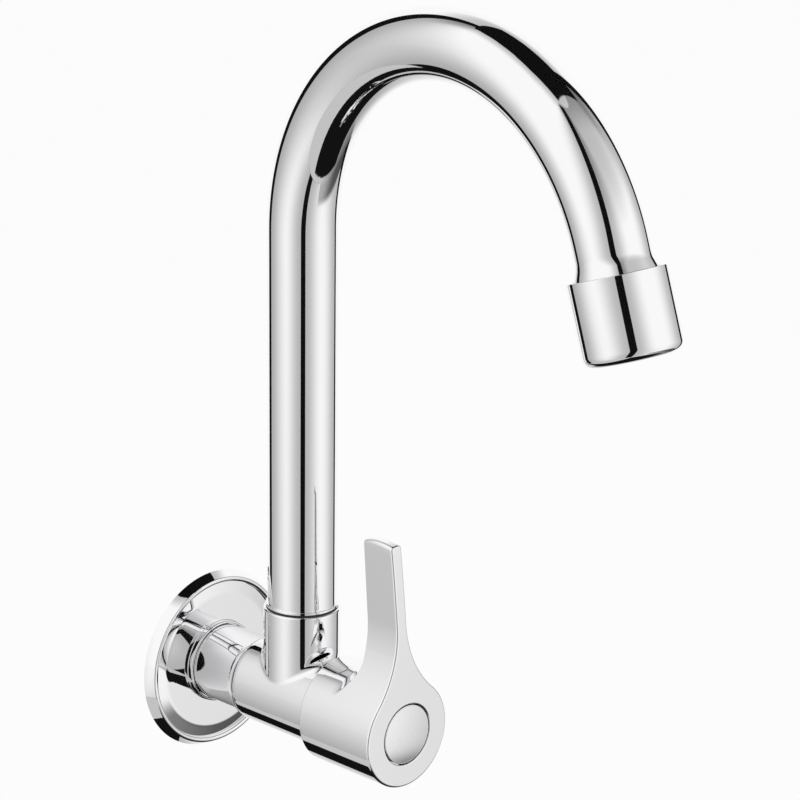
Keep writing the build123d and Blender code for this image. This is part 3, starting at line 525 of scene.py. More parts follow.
def chrome_plate():
    """Bright chrome, plated over nickel on buffed brass.

    The eye sees a near-perfect mirror with a cold tint, whose lines waver very slightly where the
    buffing wheel left long low waves, and a trace of haze that comes and goes.
    """
    return plated("bright_chrome_plate", wave=9.0, height=0.0003, haze=2.5, rough=(0.02, 0.045))


def plated_cap():
    """Satin chrome on a moulded plastic cap: the same cold tint, but reflections melt into soft shades."""
    return plated("satin_chromed_plastic", wave=1.2, height=0.0004, haze=1.2, rough=(0.15, 0.19))


def thinly_plated_casting():
    """The inside of the cast handle, where the plating hardly reaches, with cast grain: dull dark grey,
    darkened further as painted shade inside the hollow skirt.
    """
    tints = ("#35363A", bpy.context.scene.tap_finish.casting)
    sizes = {"grain": 0.3, "height": 0.01, "clouds": 3.0}
    return grained("thinly_plated_casting", **sizes, rough=(0.45, 0.6), tints=tints, Metallic=1.0)


def plain_brass():
    """Machined brass: warm yellow with fine tool marks and slightly browner, duller patches."""
    tints = ("#A9853F", bpy.context.scene.tap_finish.brass)
    sizes = {"grain": 0.35, "height": 0.006, "clouds": 4.0, "stretch": (0.12, 1, 1)}
    return grained("machined_brass", **sizes, rough=(0.2, 0.36), tints=tints, Metallic=1.0)


def stainless_steel():
    """Pickled stainless steel: an even grey, satin rather than bright, with a fine matt grain."""
    tints = ("#A2A2A0", bpy.context.scene.tap_finish.steel)
    sizes = {"grain": 0.12, "height": 0.003, "clouds": 3.0}
    return grained("pickled_stainless_steel", **sizes, rough=(0.24, 0.4), tints=tints, Metallic=1.0)


def alumina_disc():
    """Lapped alumina ceramic: warm white, dense and smooth, with a low waxy gloss."""
    tints = ("#E6E3D8", bpy.context.scene.tap_finish.ceramic)
    sizes = {"grain": 0.08, "height": 0.0008, "clouds": 2.0}
    return grained("lapped_alumina", **sizes, rough=(0.22, 0.34), tints=tints, IOR=1.76)


def seal_rubber():
    """Moulded nitrile rubber: near black, matt, with a skin like fine orange peel and a grey bloom."""
    tints = (bpy.context.scene.tap_finish.rubber, "#2B2B2D")
    sizes = {"grain": 0.18, "height": 0.008, "clouds": 1.5}
    return grained("moulded_nitrile_rubber", **sizes, rough=(0.5, 0.7), tints=tints, IOR=1.52)


def gasket_foam():
    """Closed-cell foam rubber: dull grey, pitted with cells about half a millimetre wide, darker towards each
    pit's bottom as painted shade.
    """
    name = "closed_cell_foam"
    material, tree = finish_named(name)
    if tree is None:
        return material
    place = add_node(tree, "ShaderNodeTexCoord")
    inputs = {"Vector": place.outputs["Object"], "Scale": 1 / (0.5 * MM)}
    cells = add_node(tree, "ShaderNodeTexVoronoi", inputs)
    pits = {"Height": cells.outputs["Distance"], "Distance": 0.12 * MM, "Strength": 0.8}
    bump = add_node(tree, "ShaderNodeBump", pits)
    # The colour darkens where the bump sinks each pit: painted shade in the pits.
    foam = shades(tree, cells.outputs["Distance"], "#2E2E32", bpy.context.scene.tap_finish.foam)
    inputs = {"Base Color": foam, "IOR": 1.5, "Roughness": 0.85, "Normal": bump.outputs["Normal"]}
    return finished(name, inputs)


def fibre_gasket():
    """Pressed vulcanised fibre: red-brown, with short fibres that lie every way in the sheet."""
    name = "pressed_red_fibre"
    material, tree = finish_named(name)
    if tree is None:
        return material
    fibres = grains(tree, 0.4, (1, 0.2, 1))
    bump = add_node(tree, "ShaderNodeBump", {"Height": fibres, "Distance": 0.02 * MM})
    sheet = shades(tree, fibres, "#5C2C1C", bpy.context.scene.tap_finish.fibre)
    inputs = {"Base Color": sheet, "IOR": 1.5, "Roughness": 0.7, "Normal": bump.outputs["Normal"]}
    return finished(name, inputs)


def acetal(name, tints):
    """Moulded acetal: smooth and slippery, with a low sheen and a faint eroded-mould texture."""
    sizes = {"grain": 0.15, "height": 0.004, "clouds": 2.0}
    return grained(name, **sizes, rough=(0.28, 0.42), tints=tints, IOR=1.48)


def dark_acetal():
    """Acetal coloured through with carbon black."""
    return acetal("black_moulded_acetal", ("#18191C", bpy.context.scene.tap_finish.dark_acetal))


def white_acetal():
    """Acetal in its natural milky white."""
    return acetal("natural_moulded_acetal", ("#D6D6CF", bpy.context.scene.tap_finish.white_acetal))


FINISHES = {
    "chrome_plate": chrome_plate,
    "plain_brass": plain_brass,
    "stainless_steel": stainless_steel,
    "alumina_disc": alumina_disc,
    "seal_rubber": seal_rubber,
    "gasket_foam": gasket_foam,
    "fibre_gasket": fibre_gasket,
    "dark_acetal": dark_acetal,
    "white_acetal": white_acetal,
}


# Pieces

SOCKET_BAND = 0.0162  # half the length of the barrel that is left open for the socket
OUTLET_BAND = 0.0072  # half the length of the chamber that is left open for the passage
THREAD_SOFTNESS = 0.93  # 1 gives the thread sharp crests and roots
THREAD_END = 0.4  # pitches behind the shank's start where the thread has faded out
RIM_RUN = 0.004  # length of the socket's straight outside below its top
BORE_ROUND = 0.0002  # rounding at the mouth of the socket's bore
LIP_ROUND = 0.0002  # rounding at the root of the flange's lip
COLLAR_ROUND = 0.00008  # rounding at the lower edge of the foot's collar
SPIGOT_ROUND = 0.0003  # rounding at both ends of the foot's spigot
SLEEVE_ROUND = 0.00012  # rounding at the upper edges of the nozzle's sleeve
OPENING_ROUND = 0.0004  # rounding at the nozzle's opening
DOME_END = 0.6  # how far inside the button's outside its dome ends, as a share of its edge
RIM_RISE = 0.2  # how far the corner there stands above the rim, as a share of its edge
CAP_ROUND = 0.0001  # rounding at the end of the button's skirt
WELL_RING = 0.001  # width of the ring of the handle's face round the well
BOSS_ROUND = 0.0003  # rounding at the rear edge of the handle's boss
WEB_ROUND = 0.0008  # roundings where the boss and the skirt leave the handle's web
SKIRT_ROUND = 0.00015  # rounding inside the rear edge of the handle's skirt
STRAIGHTENED_ROWS = 6  # rows of the lever's flat back that turn from the cove's arc to straight


class TAP_OT_body(Operator):
    """Make the cast body: threaded inlet, shank, barrel and the socket blended into it"""

    bl_idname = "tap.body"
    bl_label = "Body"

    def execute(self, context):
        sizes = context.scene.tap_body
        grids = body_grids(sizes)
        placed = [(on_valve_axis(points), wrapped) for points, wrapped in grids]
        piece_from_grids("cast_body", placed, "body", "body_casting", chrome_plate())
        return {"FINISHED"}


def body_grids(sizes):
    """All surfaces of the body, drawn along +Z and counted from the wall.

    The turned outside and the turned chamber each leave a band open at the top, where the socket and
    its passage come through; socket_grids fills the band round them.
    """
    angles = all_round()
    half = ROUND_COUNT // 2
    band = (sizes.riser_out - SOCKET_BAND, sizes.riser_out + SOCKET_BAND)
    inner_band = (sizes.riser_out - OUTLET_BAND, sizes.riser_out + OUTLET_BAND)
    steps = np.linspace(0, 1, 25)[:, None]
    rear = [threaded_inlet(sizes, angles)]
    back = np.concatenate([shoulder_profile(sizes), [[sizes.barrel_radius, band[0]]]])
    rear.append(turned(back, angles))
    inlet = rounded(
        [
            (sizes.strainer_radius, -sizes.thread_length, 0),
            (sizes.strainer_radius, sizes.strainer_depth - sizes.thread_length, 0),
            (sizes.waterway_radius, sizes.strainer_depth - sizes.thread_length, 0),
            (sizes.waterway_radius, sizes.seat, 0),
            (sizes.chamber_radius, sizes.seat, 0),
            (sizes.chamber_radius, inner_band[0], 0),
        ],
        closed=False,
    )
    front = rounded(
        [
            (sizes.barrel_radius, band[1], 0),
            (sizes.barrel_radius, sizes.barrel_end - sizes.barrel_chamfer, 0),
            (sizes.barrel_radius - sizes.barrel_chamfer, sizes.barrel_end, 0),
            (sizes.headwork_radius + sizes.barrel_chamfer, sizes.barrel_end, 0),
            (sizes.headwork_radius, sizes.barrel_end - sizes.barrel_chamfer, 0),
            (sizes.headwork_radius, sizes.chamber_end, 0),
            (sizes.chamber_radius, sizes.chamber_end, 0),
            (sizes.chamber_radius, inner_band[1], 0),
        ],
        closed=False,
    )
    grids = [(grid, True) for grid in rear + [turned(inlet, angles), turned(front, angles)]]
    tip = np.stack([rear[0][0], turned(inlet[:1], angles)[0]])
    grids.append((tip, True))
    under = angles[np.arange(half, ROUND_COUNT + 1) % ROUND_COUNT]
    for radius, (low, high) in ((sizes.barrel_radius, band), (sizes.chamber_radius, inner_band)):
        strip = np.concatenate([np.full_like(steps, radius), low + (high - low) * steps], 1)
        grids.append((turned(strip, under), False))
    return grids + socket_grids(sizes, band, inner_band, steps[:, 0])


def threaded_inlet(sizes, angles):
    """The inlet's thread as a radius worked out for every angle and height.

    The groove's depth follows how far a point is from the helix, as the arc cosine of a softened
    cosine, which has straight flanks and rounded crests; it fades out at the flange and is cut by
    the chamfer at the tip.
    """
    start = -sizes.thread_length
    height = np.linspace(start, sizes.shank_start, 121)[:, None]
    phase = 2 * np.pi * height / sizes.thread_pitch - angles
    groove = np.arccos(THREAD_SOFTNESS * np.cos(phase)) / np.pi
    groove = (groove - groove.min()) / (groove.max() - groove.min())
    fade = np.clip((sizes.shank_start - height) / sizes.thread_pitch - THREAD_END, 0, 1)
    radius = sizes.thread_radius - sizes.thread_depth * fade * groove
    cone = sizes.thread_radius - sizes.thread_chamfer + (height - start)
    radius = np.minimum(radius, cone)
    return np.stack([radius * np.cos(angles), radius * np.sin(angles), height + 0 * radius], -1)


def shoulder_profile(sizes):
    """Shank and rounded shoulder: an arc that leaves the shank at an angle and meets the barrel flush."""
    rise = sizes.barrel_radius - sizes.shank_radius
    run = sizes.shoulder_end - sizes.shoulder_start
    radius = (rise**2 + run**2) / (2 * rise)
    share = np.linspace(0, 1, 13)
    height = sizes.shoulder_start + run * share
    bulge = sizes.barrel_radius - radius + np.sqrt(radius**2 - (sizes.shoulder_end - height) ** 2)
    shank = [[sizes.thread_radius, sizes.shank_start], [sizes.shank_radius, sizes.shank_start]]
    return np.concatenate([shank, np.stack([bulge, height], 1)])


def band_edge(radius, low, high, steps):
    """Points round a band's open top half, as (arc length from the top, height), once round."""
    half = ROUND_COUNT // 2
    turn_share = np.linspace(1, -1, half + 1)
    up = np.stack([np.full(len(steps), 1.0), low + (high - low) * steps], 1)
    across = np.stack([turn_share, np.full(half + 1, high)], 1)
    down = np.stack([np.full(len(steps), -1.0), high - (high - low) * steps], 1)
    back = np.stack([-turn_share, np.full(half + 1, low)], 1)
    edge = np.concatenate([up[:-1], across[:-1], down[:-1], back[:-1]])
    return edge * [radius * np.pi / 2, 1]


def wrapped_on(radius, sideways, height):
    """Points of a flat sheet wrapped on a cylinder along Z, with the sheet's middle at its top."""
    angle = sideways / radius
    return np.stack([radius * np.sin(angle), radius * np.cos(angle), height], -1)


def socket_grids(sizes, band, inner_band, steps):
    """The socket, its blend into the barrel, its bore and the passage to the chamber.

    The blend is a ball rolled round the socket: its centre is a blend radius away from both the
    socket and the barrel, and the surface is the short arc between its two touching points. The
    barrel round it is the flat sheet between the blend's foot and the open band, wrapped on.
    """
    out = sizes.riser_out
    share = np.linspace(0, 1, 13)[:, None]
    edge = band_edge(sizes.barrel_radius, *band, steps)
    way = np.arctan2(edge[:, 1] - out, edge[:, 0])
    radial = np.stack([np.cos(way), 0 * way, np.sin(way)], -1)
    ball = sizes.socket_blend
    reach = sizes.socket_radius + ball
    high = np.sqrt((sizes.barrel_radius + ball) ** 2 - (reach * np.cos(way)) ** 2)
    centre = np.stack([reach * np.cos(way), high, out + reach * np.sin(way)], -1)
    to_barrel = -centre * [1, 1, 0] / (sizes.barrel_radius + ball)
    blend = centre + ball * slerp(-radial[None], to_barrel[None], share[:, :, None])
    foot = np.stack(
        [sizes.barrel_radius * np.arctan2(blend[-1, :, 0], blend[-1, :, 1]), blend[-1, :, 2]], -1
    )
    sheet = foot + (edge - foot) * share[:, :, None]
    barrel = wrapped_on(sizes.barrel_radius, sheet[..., 0], sheet[..., 1])
    rim = rounded(
        [
            (sizes.socket_radius, sizes.socket_top - RIM_RUN, 0),
            (sizes.socket_radius, sizes.socket_top, sizes.socket_rim),
            (sizes.socket_bore, sizes.socket_top, BORE_ROUND),
            (sizes.socket_bore, sizes.groove_high, 0),
            (sizes.groove_radius, sizes.groove_high, 0),
            (sizes.groove_radius, sizes.groove_low, 0),
            (sizes.socket_bore, sizes.groove_low, 0),
            (sizes.socket_bore, sizes.socket_floor, 0),
            (sizes.outlet_radius, sizes.socket_floor, 0),
        ],
        closed=False,
    )
    rim = turned(rim, way)
    rim = np.stack([rim[..., 0], rim[..., 2], out + rim[..., 1]], -1)
    wall = blend[0] + (rim[0] - blend[0]) * share[::-1, :, None]
    mouth = out + sizes.outlet_radius * np.sin(way)
    side = sizes.outlet_radius * np.cos(way)
    passage_end = np.stack([side, np.sqrt(sizes.chamber_radius**2 - side**2), mouth], -1)
    passage = np.stack([rim[-1], passage_end])
    inner_edge = band_edge(sizes.chamber_radius, *inner_band, steps)
    inner_foot = np.stack([sizes.chamber_radius * np.arcsin(side / sizes.chamber_radius), mouth], -1)
    sheet = inner_foot + (inner_edge - inner_foot) * share[:, :, None]
    chamber = wrapped_on(sizes.chamber_radius, sheet[..., 0], sheet[..., 1])
    return [(grid, True) for grid in (wall, blend, barrel, rim, passage, chamber)]


class TAP_OT_wall_flange(Operator):
    """Make the pressed wall flange: tapered edge, bead, flat face and the lip round the shank"""

    bl_idname = "tap.wall_flange"
    bl_label = "Wall flange"

    def execute(self, context):
        sizes = context.scene.tap_flange
        grid = turned(flange_profile(sizes), all_round(256))
        closed = np.concatenate([grid, grid[:1]])
        piece_from_grids(
            "pressed_wall_flange",
            [(on_valve_axis(closed), True)],
            "body",
            "wall_flange",
            chrome_plate(),
        )
        return {"FINISHED"}


def flange_profile(sizes):
    """The flange's section: straight runs, with a half-oval bead and a half-round end on the lip.

    The face's outer zone is rolled down towards the bead: a parabola into a cone.
    """
    share = np.linspace(0, np.pi, 17)[:, None]
    bead_middle = sizes.rim_radius - sizes.taper - sizes.bead_width / 2
    bead = np.concatenate(
        [
            bead_middle + sizes.bead_width / 2 * np.cos(share),
            sizes.face + sizes.bead_height * np.sin(share),
        ],
        1,
    )
    lip_end = sizes.face + sizes.lip_height - sizes.lip_wall / 2
    lip = np.concatenate(
        [
            sizes.lip_bore + sizes.lip_wall / 2 * (1 + np.cos(share)),
            lip_end + sizes.lip_wall / 2 * np.sin(share),
        ],
        1,
    )
    outer = sizes.lip_bore + sizes.lip_wall
    foot = bead[-1][0]
    slope = sizes.roll_drop / (foot - sizes.flat_radius - sizes.roll_bend / 2)
    turning = np.linspace(sizes.roll_bend, 0, 7)
    roll = np.stack(
        [sizes.flat_radius + turning, sizes.face - slope * turning**2 / (2 * sizes.roll_bend)], 1
    )
    roll = np.concatenate([[[foot, sizes.face - sizes.roll_drop]], roll])
    root = rounded(
        [
            (sizes.flat_radius - EDGE_GUARD, sizes.face, 0),
            (outer, sizes.face, LIP_ROUND),
            (outer, lip_end, 0),
        ],
        closed=False,
    )
    back = sizes.face - sizes.sheet
    taper = sizes.taper * back / sizes.face
    under = np.array(
        [
            [sizes.lip_bore, back],
            [sizes.rim_radius - sizes.sheet - taper, back],
            [sizes.rim_radius - sizes.sheet, 0],
            [sizes.rim_radius, 0],
        ]
    )
    return np.concatenate([bead, roll, root, lip, under])


class TAP_OT_spout_tube(Operator):
    """Make the bent spout tube with its swaged mouth"""

    bl_idname = "tap.spout_tube"
    bl_label = "Spout tube"

    def execute(self, context):
        sizes = context.scene.tap_spout
        out = context.scene.tap_body.riser_out
        outer = tube_surface(sizes, 0)
        inner = tube_surface(sizes, sizes.tube_wall)[::-1]
        closed = np.concatenate([outer, inner, outer[:1]])
        placed = on_riser(closed, out, sizes.rest_turn)
        piece_from_grids(
            "bent_spout_tube", [(placed, True)], "spout", "spout_tube", chrome_plate()
        )
        return {"FINISHED"}


def tube_surface(sizes, inset):
    """A circle carried along the spout's centre line: straight up, round the arch, then straight.

    Near the mouth it widens like a trumpet: the slope grows evenly over the bend, which makes a
    parabola, and stays as it is along the cone.
    """
    angles = all_round(128)
    lift = np.linspace(sizes.tube_foot, sizes.riser_top, 13)
    bend = np.linspace(0, sizes.arch_turn, 129)[1:]
    turning = np.linspace(0, sizes.flare_bend, 13)
    slope = (sizes.mouth_radius - sizes.tube_radius) / (sizes.flare_bend / 2 + sizes.flare_cone)
    flare_start = sizes.mouth_run - sizes.flare_bend - sizes.flare_cone
    run = np.concatenate([[flare_start / 2], flare_start + turning, [sizes.mouth_run]])
    trumpet = sizes.tube_radius + slope * turning**2 / (2 * sizes.flare_bend)
    plain = np.full(len(lift) + len(bend) + 1, sizes.tube_radius)
    radius = np.concatenate([plain, trumpet, [sizes.mouth_radius]])
    radius = radius - inset
    out = np.array([-math.sin(sizes.arch_turn), math.cos(sizes.arch_turn)])
    riser = np.stack([0 * lift, lift], -1)
    arch = np.stack([np.cos(bend) - 1, np.sin(bend)], -1) * sizes.arch_radius + [0, sizes.riser_top]
    mouth = arch[-1] + run[:, None] * out
    middle = np.concatenate([riser, arch, mouth])
    heading = np.concatenate([0 * lift, bend, np.full(len(run), sizes.arch_turn)])
    normal = np.stack([np.cos(heading), np.sin(heading)], -1)
    across = radius[:, None] * np.cos(angles)
    along = (radius[:, None] * np.sin(angles))[..., None] * normal[:, None]
    return np.concatenate([across[..., None], middle[:, None] + along], -1)


class TAP_OT_spout_foot(Operator):
    """Make the spout's foot: the plated collar that shows and the bare spigot in the socket"""

    bl_idname = "tap.spout_foot"
    bl_label = "Spout foot"

    def execute(self, context):
        foot = context.scene.tap_foot
        spout = context.scene.tap_spout
        out = context.scene.tap_body.riser_out
        collar = rounded(
            [
                (foot.radius, foot.collar_foot, 0),
                (foot.collar_radius, foot.collar_foot, COLLAR_ROUND),
                (foot.collar_radius, spout.tube_foot, foot.collar_round),
                (foot.radius, spout.tube_foot, 0),
            ]
        )
        pieces = (
            ("foot_collar", collar, "chrome_plate"),
            ("foot_spigot", spigot_profile(foot), "plain_brass"),
        )
        for name, profile, slot in pieces:
            grid = turned(np.concatenate([profile, profile[:1]]), all_round())
            placed = on_riser(grid, out, spout.rest_turn)
            piece_from_grids(name, [(placed, True)], "spout", "spout_foot", FINISHES[slot]())
        return {"FINISHED"}


def spigot_profile(foot):
    """The spigot's section: bore, plug, and an outside with two ring grooves and the retainer's."""
    grooves = []
    for middle in (foot.lower_ring, foot.upper_ring):
        grooves.append((middle - foot.ring_groove / 2, middle + foot.ring_groove / 2, foot.ring_floor))
    grooves.append((foot.retainer_low, foot.retainer_high, foot.retainer_floor))
    corners = [(foot.bore, foot.end, 0), (foot.radius, foot.end, SPIGOT_ROUND)]
    for low, high, floor in grooves:
        corners += [(foot.radius, low, 0), (floor, low, 0), (floor, high, 0), (foot.radius, high, 0)]
    corners += [(foot.radius, foot.plug_top, SPIGOT_ROUND), (foot.bore, foot.plug_top, 0)]
    return rounded(corners)


class TAP_OT_inner_finishes(Operator):
    """Give every solid that still shows the finish of its slot"""

    bl_idname = "tap.inner_finishes"
    bl_label = "Finishes inside"

    def execute(self, context):
        for part in frame["record"]["subparts"]:
            node = frame["nodes"][part["node"]]
            if node.hide_render:
                continue
            finish = FINISHES[part["material_slot"]]()
            for spot in node.material_slots:
                spot.material = finish
        return {"FINISHED"}


class TAP_OT_nozzle(Operator):
    """Make the nozzle sleeve at the spout's mouth"""

    bl_idname = "tap.nozzle"
    bl_label = "Nozzle"

    def execute(self, context):
        sizes = context.scene.tap_nozzle
        profile = rounded(
            [
                (sizes.radius, sizes.top, SLEEVE_ROUND),
                (sizes.radius, sizes.sleeve_length, sizes.rounding),
                (sizes.mouth, sizes.sleeve_length, OPENING_ROUND),
                (sizes.mouth, sizes.sleeve_length - sizes.lip, 0),
                (sizes.bore, sizes.sleeve_length - sizes.lip, 0),
                (sizes.bore, sizes.top, SLEEVE_ROUND),
            ],
            steps=12,
        )
        grid = turned(np.concatenate([profile, profile[:1]]), all_round())
        placed = at_mouth(grid, context.scene.tap_spout, context.scene.tap_body.riser_out)
        piece_from_grids(
            "nozzle_sleeve", [(placed, True)], "spout", "aerator_shell", chrome_plate()
        )
        return {"FINISHED"}


class TAP_OT_button(Operator):
    """Make the domed index button"""

    bl_idname = "tap.button"
    bl_label = "Index button"

    def execute(self, context):
        sizes = context.scene.tap_button
        dome = (sizes.radius**2 + sizes.rise**2) / (2 * sizes.rise)
        middle = sizes.rim + sizes.rise - dome
        reach = math.asin((sizes.radius - DOME_END * sizes.edge) / dome)
        swing = np.linspace(0, reach, 24)[:, None]
        top = np.concatenate([dome * np.sin(swing), middle + dome * np.cos(swing)], 1)
        rim = rounded(
            [
                (*top[-1], 0),
                (sizes.radius, sizes.rim + RIM_RISE * sizes.edge, sizes.edge / 2),
                (sizes.radius, sizes.rim - sizes.skirt, CAP_ROUND),
                (sizes.radius - sizes.wall, sizes.rim - sizes.skirt, 0),
                (sizes.radius - sizes.wall, sizes.rim - sizes.wall / 2, 0),
                (0, sizes.rim - sizes.wall / 2, 0),
            ],
            closed=False,
        )
        grid = turned(np.concatenate([top, rim[1:]]), all_round())
        piece_from_grids(
            "domed_button",
            [(on_valve_axis(grid), True)],
            "handle",
            "index_button",
            plated_cap(),
        )
        return {"FINISHED"}


class TAP_OT_handle(Operator):
    """Make the lever handle: teardrop lever, hub, hollow skirt, boss and button well"""

    bl_idname = "tap.handle"
    bl_label = "Handle"

    def execute(self, context):
        sizes = context.scene.tap_handle
        placed = []
        for points, wrapped in handle_grids(sizes):
            up = points[..., 1] - tip_fall(sizes, points[..., 1], points[..., 2])
            x = points[..., 0] * math.cos(sizes.lean) - up * math.sin(sizes.lean)
            y = points[..., 0] * math.sin(sizes.lean) + up * math.cos(sizes.lean)
            leant = np.stack([x, y, sizes.face - points[..., 2]], -1)
            placed.append((on_valve_axis(leant), wrapped))
        piece = piece_from_grids("lever_handle", placed, "handle", "handle", chrome_plate())
        # The inside of the hollow skirt gets the dark casting finish, which paints the shade in that recess.
        piece.data.materials.append(thinly_plated_casting())
        faces = piece.data.polygons
        middle = np.empty(3 * len(faces))
        faces.foreach_get("center", middle)
        across, ahead, up = middle.reshape(-1, 3).T
        behind_web = ahead > sizes.web_back - sizes.face - EDGE_GUARD
        inside = behind_web & (np.hypot(across, up) < sizes.skirt_bore)
        faces.foreach_set("material_index", inside.astype(np.int32))
        return {"FINISHED"}


def lever_edge(sizes):
    """The right half of the lever's outline, from the hub up to its tip, as points and outward normals.

    The flare is a circle that touches the hub and the stem. Its first points have the radii at
    which the cove behind the lever is sampled, so that both meet.
    """
    side = sizes.half_width + sizes.flare
    spread = sizes.hub_radius + sizes.flare
    rise = math.sqrt(spread**2 - side**2)
    touch = math.atan2(rise, side)
    swing = np.linspace(0, np.pi / 2, 15)
    radii = sizes.hub_radius + sizes.cove * (1 - np.cos(swing))
    cosine = (spread**2 + sizes.flare**2 - radii**2) / (2 * sizes.flare * spread)
    cove_angles = touch - np.arccos(np.clip(cosine, -1, 1))
    crown_angle = math.asin((rise - sizes.crown_start) / sizes.flare)
    low = np.linspace(cove_angles[-1], crown_angle, 4)[1:]
    high = np.linspace(crown_angle, 0, 15)[1:]
    angles = np.concatenate([cove_angles, low, high])
    flare_normal = np.stack([np.cos(angles), np.sin(angles)], -1)
    flare = np.array([side, rise]) - sizes.flare * flare_normal
    stem_y = np.linspace(rise, sizes.top - sizes.corner, 13)[1:-1]
    stem = np.stack([np.full_like(stem_y, sizes.half_width), stem_y], -1)
    stem_normal = np.tile([1.0, 0.0], (len(stem_y), 1))
    round_angle = np.linspace(0, np.pi / 2, 9)
    corner_normal = np.stack([np.cos(round_angle), np.sin(round_angle)], -1)
    middle = np.array([sizes.half_width - sizes.corner, sizes.top - sizes.corner])
    corner = middle + sizes.corner * corner_normal
    points = np.concatenate([flare, stem, corner])
    normals = np.concatenate([flare_normal, stem_normal, corner_normal])
    cove_count = len(swing)
    crown_row = cove_count + len(low) - 1
    return points, normals, radii, sizes.cove * np.sin(swing), cove_count, crown_row


def face_depth(sizes, height):
    """How far the front face has leant back at a height: nothing below the crown, then a large arc."""
    run = sizes.top - sizes.crown_start
    radius = (run**2 + sizes.crown**2) / (2 * sizes.crown)
    above = np.clip(height - sizes.crown_start, 0, None)
    return radius - np.sqrt(radius**2 - above**2)


def tip_fall(sizes, height, depth):
    """How far a point near the tip is drawn down, so that the lever's top is a low arch from the side.

    It grows with the square of the distance from the peak, alike to the front and the back end, and
    with the square of the share of the tip's run that the point has climbed.
    """
    reach = np.where(depth < sizes.tip_peak, sizes.tip_peak, sizes.depth - sizes.tip_peak)
    climbed = np.clip((height - sizes.top + sizes.tip_run) / sizes.tip_run, 0, 1)
    return sizes.tip_drop * np.clip((depth - sizes.tip_peak) / reach, -1, 1) ** 2 * climbed**2


def handle_grids(sizes):
    """All surfaces of the handle, upright, with depth counted back from the front face.

    The outline goes once round: hub from right to left by the bottom, left side of the lever up, tip,
    right side down. Every patch shares its edge points with the next one.
    """
    edge, normal, radii, cove_rise, cove_count, crown_row = lever_edge(sizes)
    mirror = np.array([-1.0, 1.0])
    touch = math.atan2(edge[0, 0], edge[0, 1])
    hub_way = np.linspace(np.pi / 2 - touch, -1.5 * np.pi + touch, 151)
    hub = sizes.hub_radius * np.stack([np.cos(hub_way), np.sin(hub_way)], -1)
    across = np.concatenate([[-1, -0.96], np.linspace(-0.8, 0.8, 9), [0.96, 1]])
    rows = np.concatenate([[0, 0.02], np.linspace(0.1, 0.9, 9), [0.98, 1]])[:, None, None]
    rear_depth = sizes.depth + sizes.cove
    grids = []

    # Front edge and side walls, along the lever's right side, its left side, its tip and the hub
    back_depth = np.full(len(edge), sizes.depth)
    back_depth[:cove_count] = rear_depth - cove_rise
    tip_x = across * edge[-1, 0]
    tip = np.stack([tip_x, np.full_like(tip_x, sizes.top)], -1)
    up = np.tile([0.0, 1.0], (len(tip), 1))
    strips = [
        (edge, normal, back_depth),
        (edge * mirror, normal * mirror, back_depth),
        (tip, up, np.full(len(tip), sizes.depth)),
        (hub, hub / sizes.hub_radius, np.full(len(hub), rear_depth)),
    ]
    bend = np.linspace(0, np.pi / 2, 9)[:, None, None]
    for spots, out, deep in strips:
        face = face_depth(sizes, spots[:, 1] - sizes.edge * out[:, 1])[None, :, None]
        flat = spots - sizes.edge * (1 - np.sin(bend)) * out
        depth = face + sizes.edge * (1 - np.cos(bend)) + 0 * flat[..., :1]
        grids.append((np.concatenate([flat, depth], -1), False))
        start = face + sizes.edge
        depth = start + (deep[None, :, None] - start) * rows
        flat = spots[None] + 0 * depth
        grids.append((np.concatenate([flat, depth], -1), False))

    # Hub wall behind the lever's depth, once round
    span_way = np.pi / 2 + touch - (1 + across) * touch
    ring_way = np.concatenate([hub_way, span_way[1:-1]])
    low = sizes.hub_length - sizes.rear_edge
    lower = np.linspace(rear_depth, low, 7)
    lower = np.insert(lower, -1, low - EDGE_GUARD)
    wall = np.stack([np.full_like(lower, sizes.hub_radius), lower], -1)
    grids.append((turned(wall, ring_way), True))

    # Back of the lever: the cove, turned about the hub, then the flat back with its rows straightened
    half_turn = np.arctan2(edge[:cove_count, 0], edge[:cove_count, 1])
    way = np.pi / 2 - half_turn[:, None] * across
    cove = np.stack([radii[:, None] * np.cos(way), radii[:, None] * np.sin(way)], -1)
    deep = np.broadcast_to(back_depth[:cove_count, None, None], cove.shape[:2] + (1,))
    grids.append((np.concatenate([cove, deep], -1), False))
    flat_edge = edge[cove_count - 1 :]
    reach = np.hypot(flat_edge[:, 0], flat_edge[:, 1])[:, None]
    straighten = np.clip(1 - np.arange(len(flat_edge)) / STRAIGHTENED_ROWS, 0, 1)[:, None]
    half_turn = np.arctan2(flat_edge[:, :1], flat_edge[:, 1:])
    even = flat_edge[:, :1] * across
    x = even + (reach * np.sin(half_turn * across) - even) * straighten
    sag = np.sqrt(reach**2 - x**2) - flat_edge[:, 1:]
    y = flat_edge[:, 1:] + sag * straighten
    back = np.stack([x, y, np.full_like(x, sizes.depth)], -1)
    grids.append((back, False))

    # Front face: the stem above the crown's start, then the hub zone round the button's well
    inset = edge - sizes.edge * normal
    stem = inset[crown_row:]
    x = stem[:, :1] * across
    y = stem[:, 1:] + 0 * x
    grids.append((np.stack([x, y, face_depth(sizes, y)], -1), False))
    cut = np.stack([across * inset[crown_row, 0], np.full(len(across), inset[crown_row, 1])], -1)
    hub_inset = hub * (1 - sizes.edge / sizes.hub_radius)
    left = inset[: crown_row + 1] * mirror
    right = inset[: crown_row + 1][::-1]
    boundary = np.concatenate([hub_inset, left[1:], cut[1:], right[1:-1]])
    face_way = np.unwrap(np.arctan2(boundary[:, 1], boundary[:, 0]))
    well = rounded(
        [
            (sizes.well_radius + WELL_RING, 0, 0),
            (sizes.well_radius, 0, sizes.well_edge),
            (sizes.well_radius, sizes.well_depth, 0),
            (sizes.screw_hole, sizes.well_depth, 0),
        ],
        closed=False,
    )
    ring = turned(well, face_way)
    flat_boundary = np.concatenate([boundary, np.zeros((len(boundary), 1))], -1)
    grids.append((ring[0] + (flat_boundary - ring[0]) * rows, True))
    grids.append((ring, True))

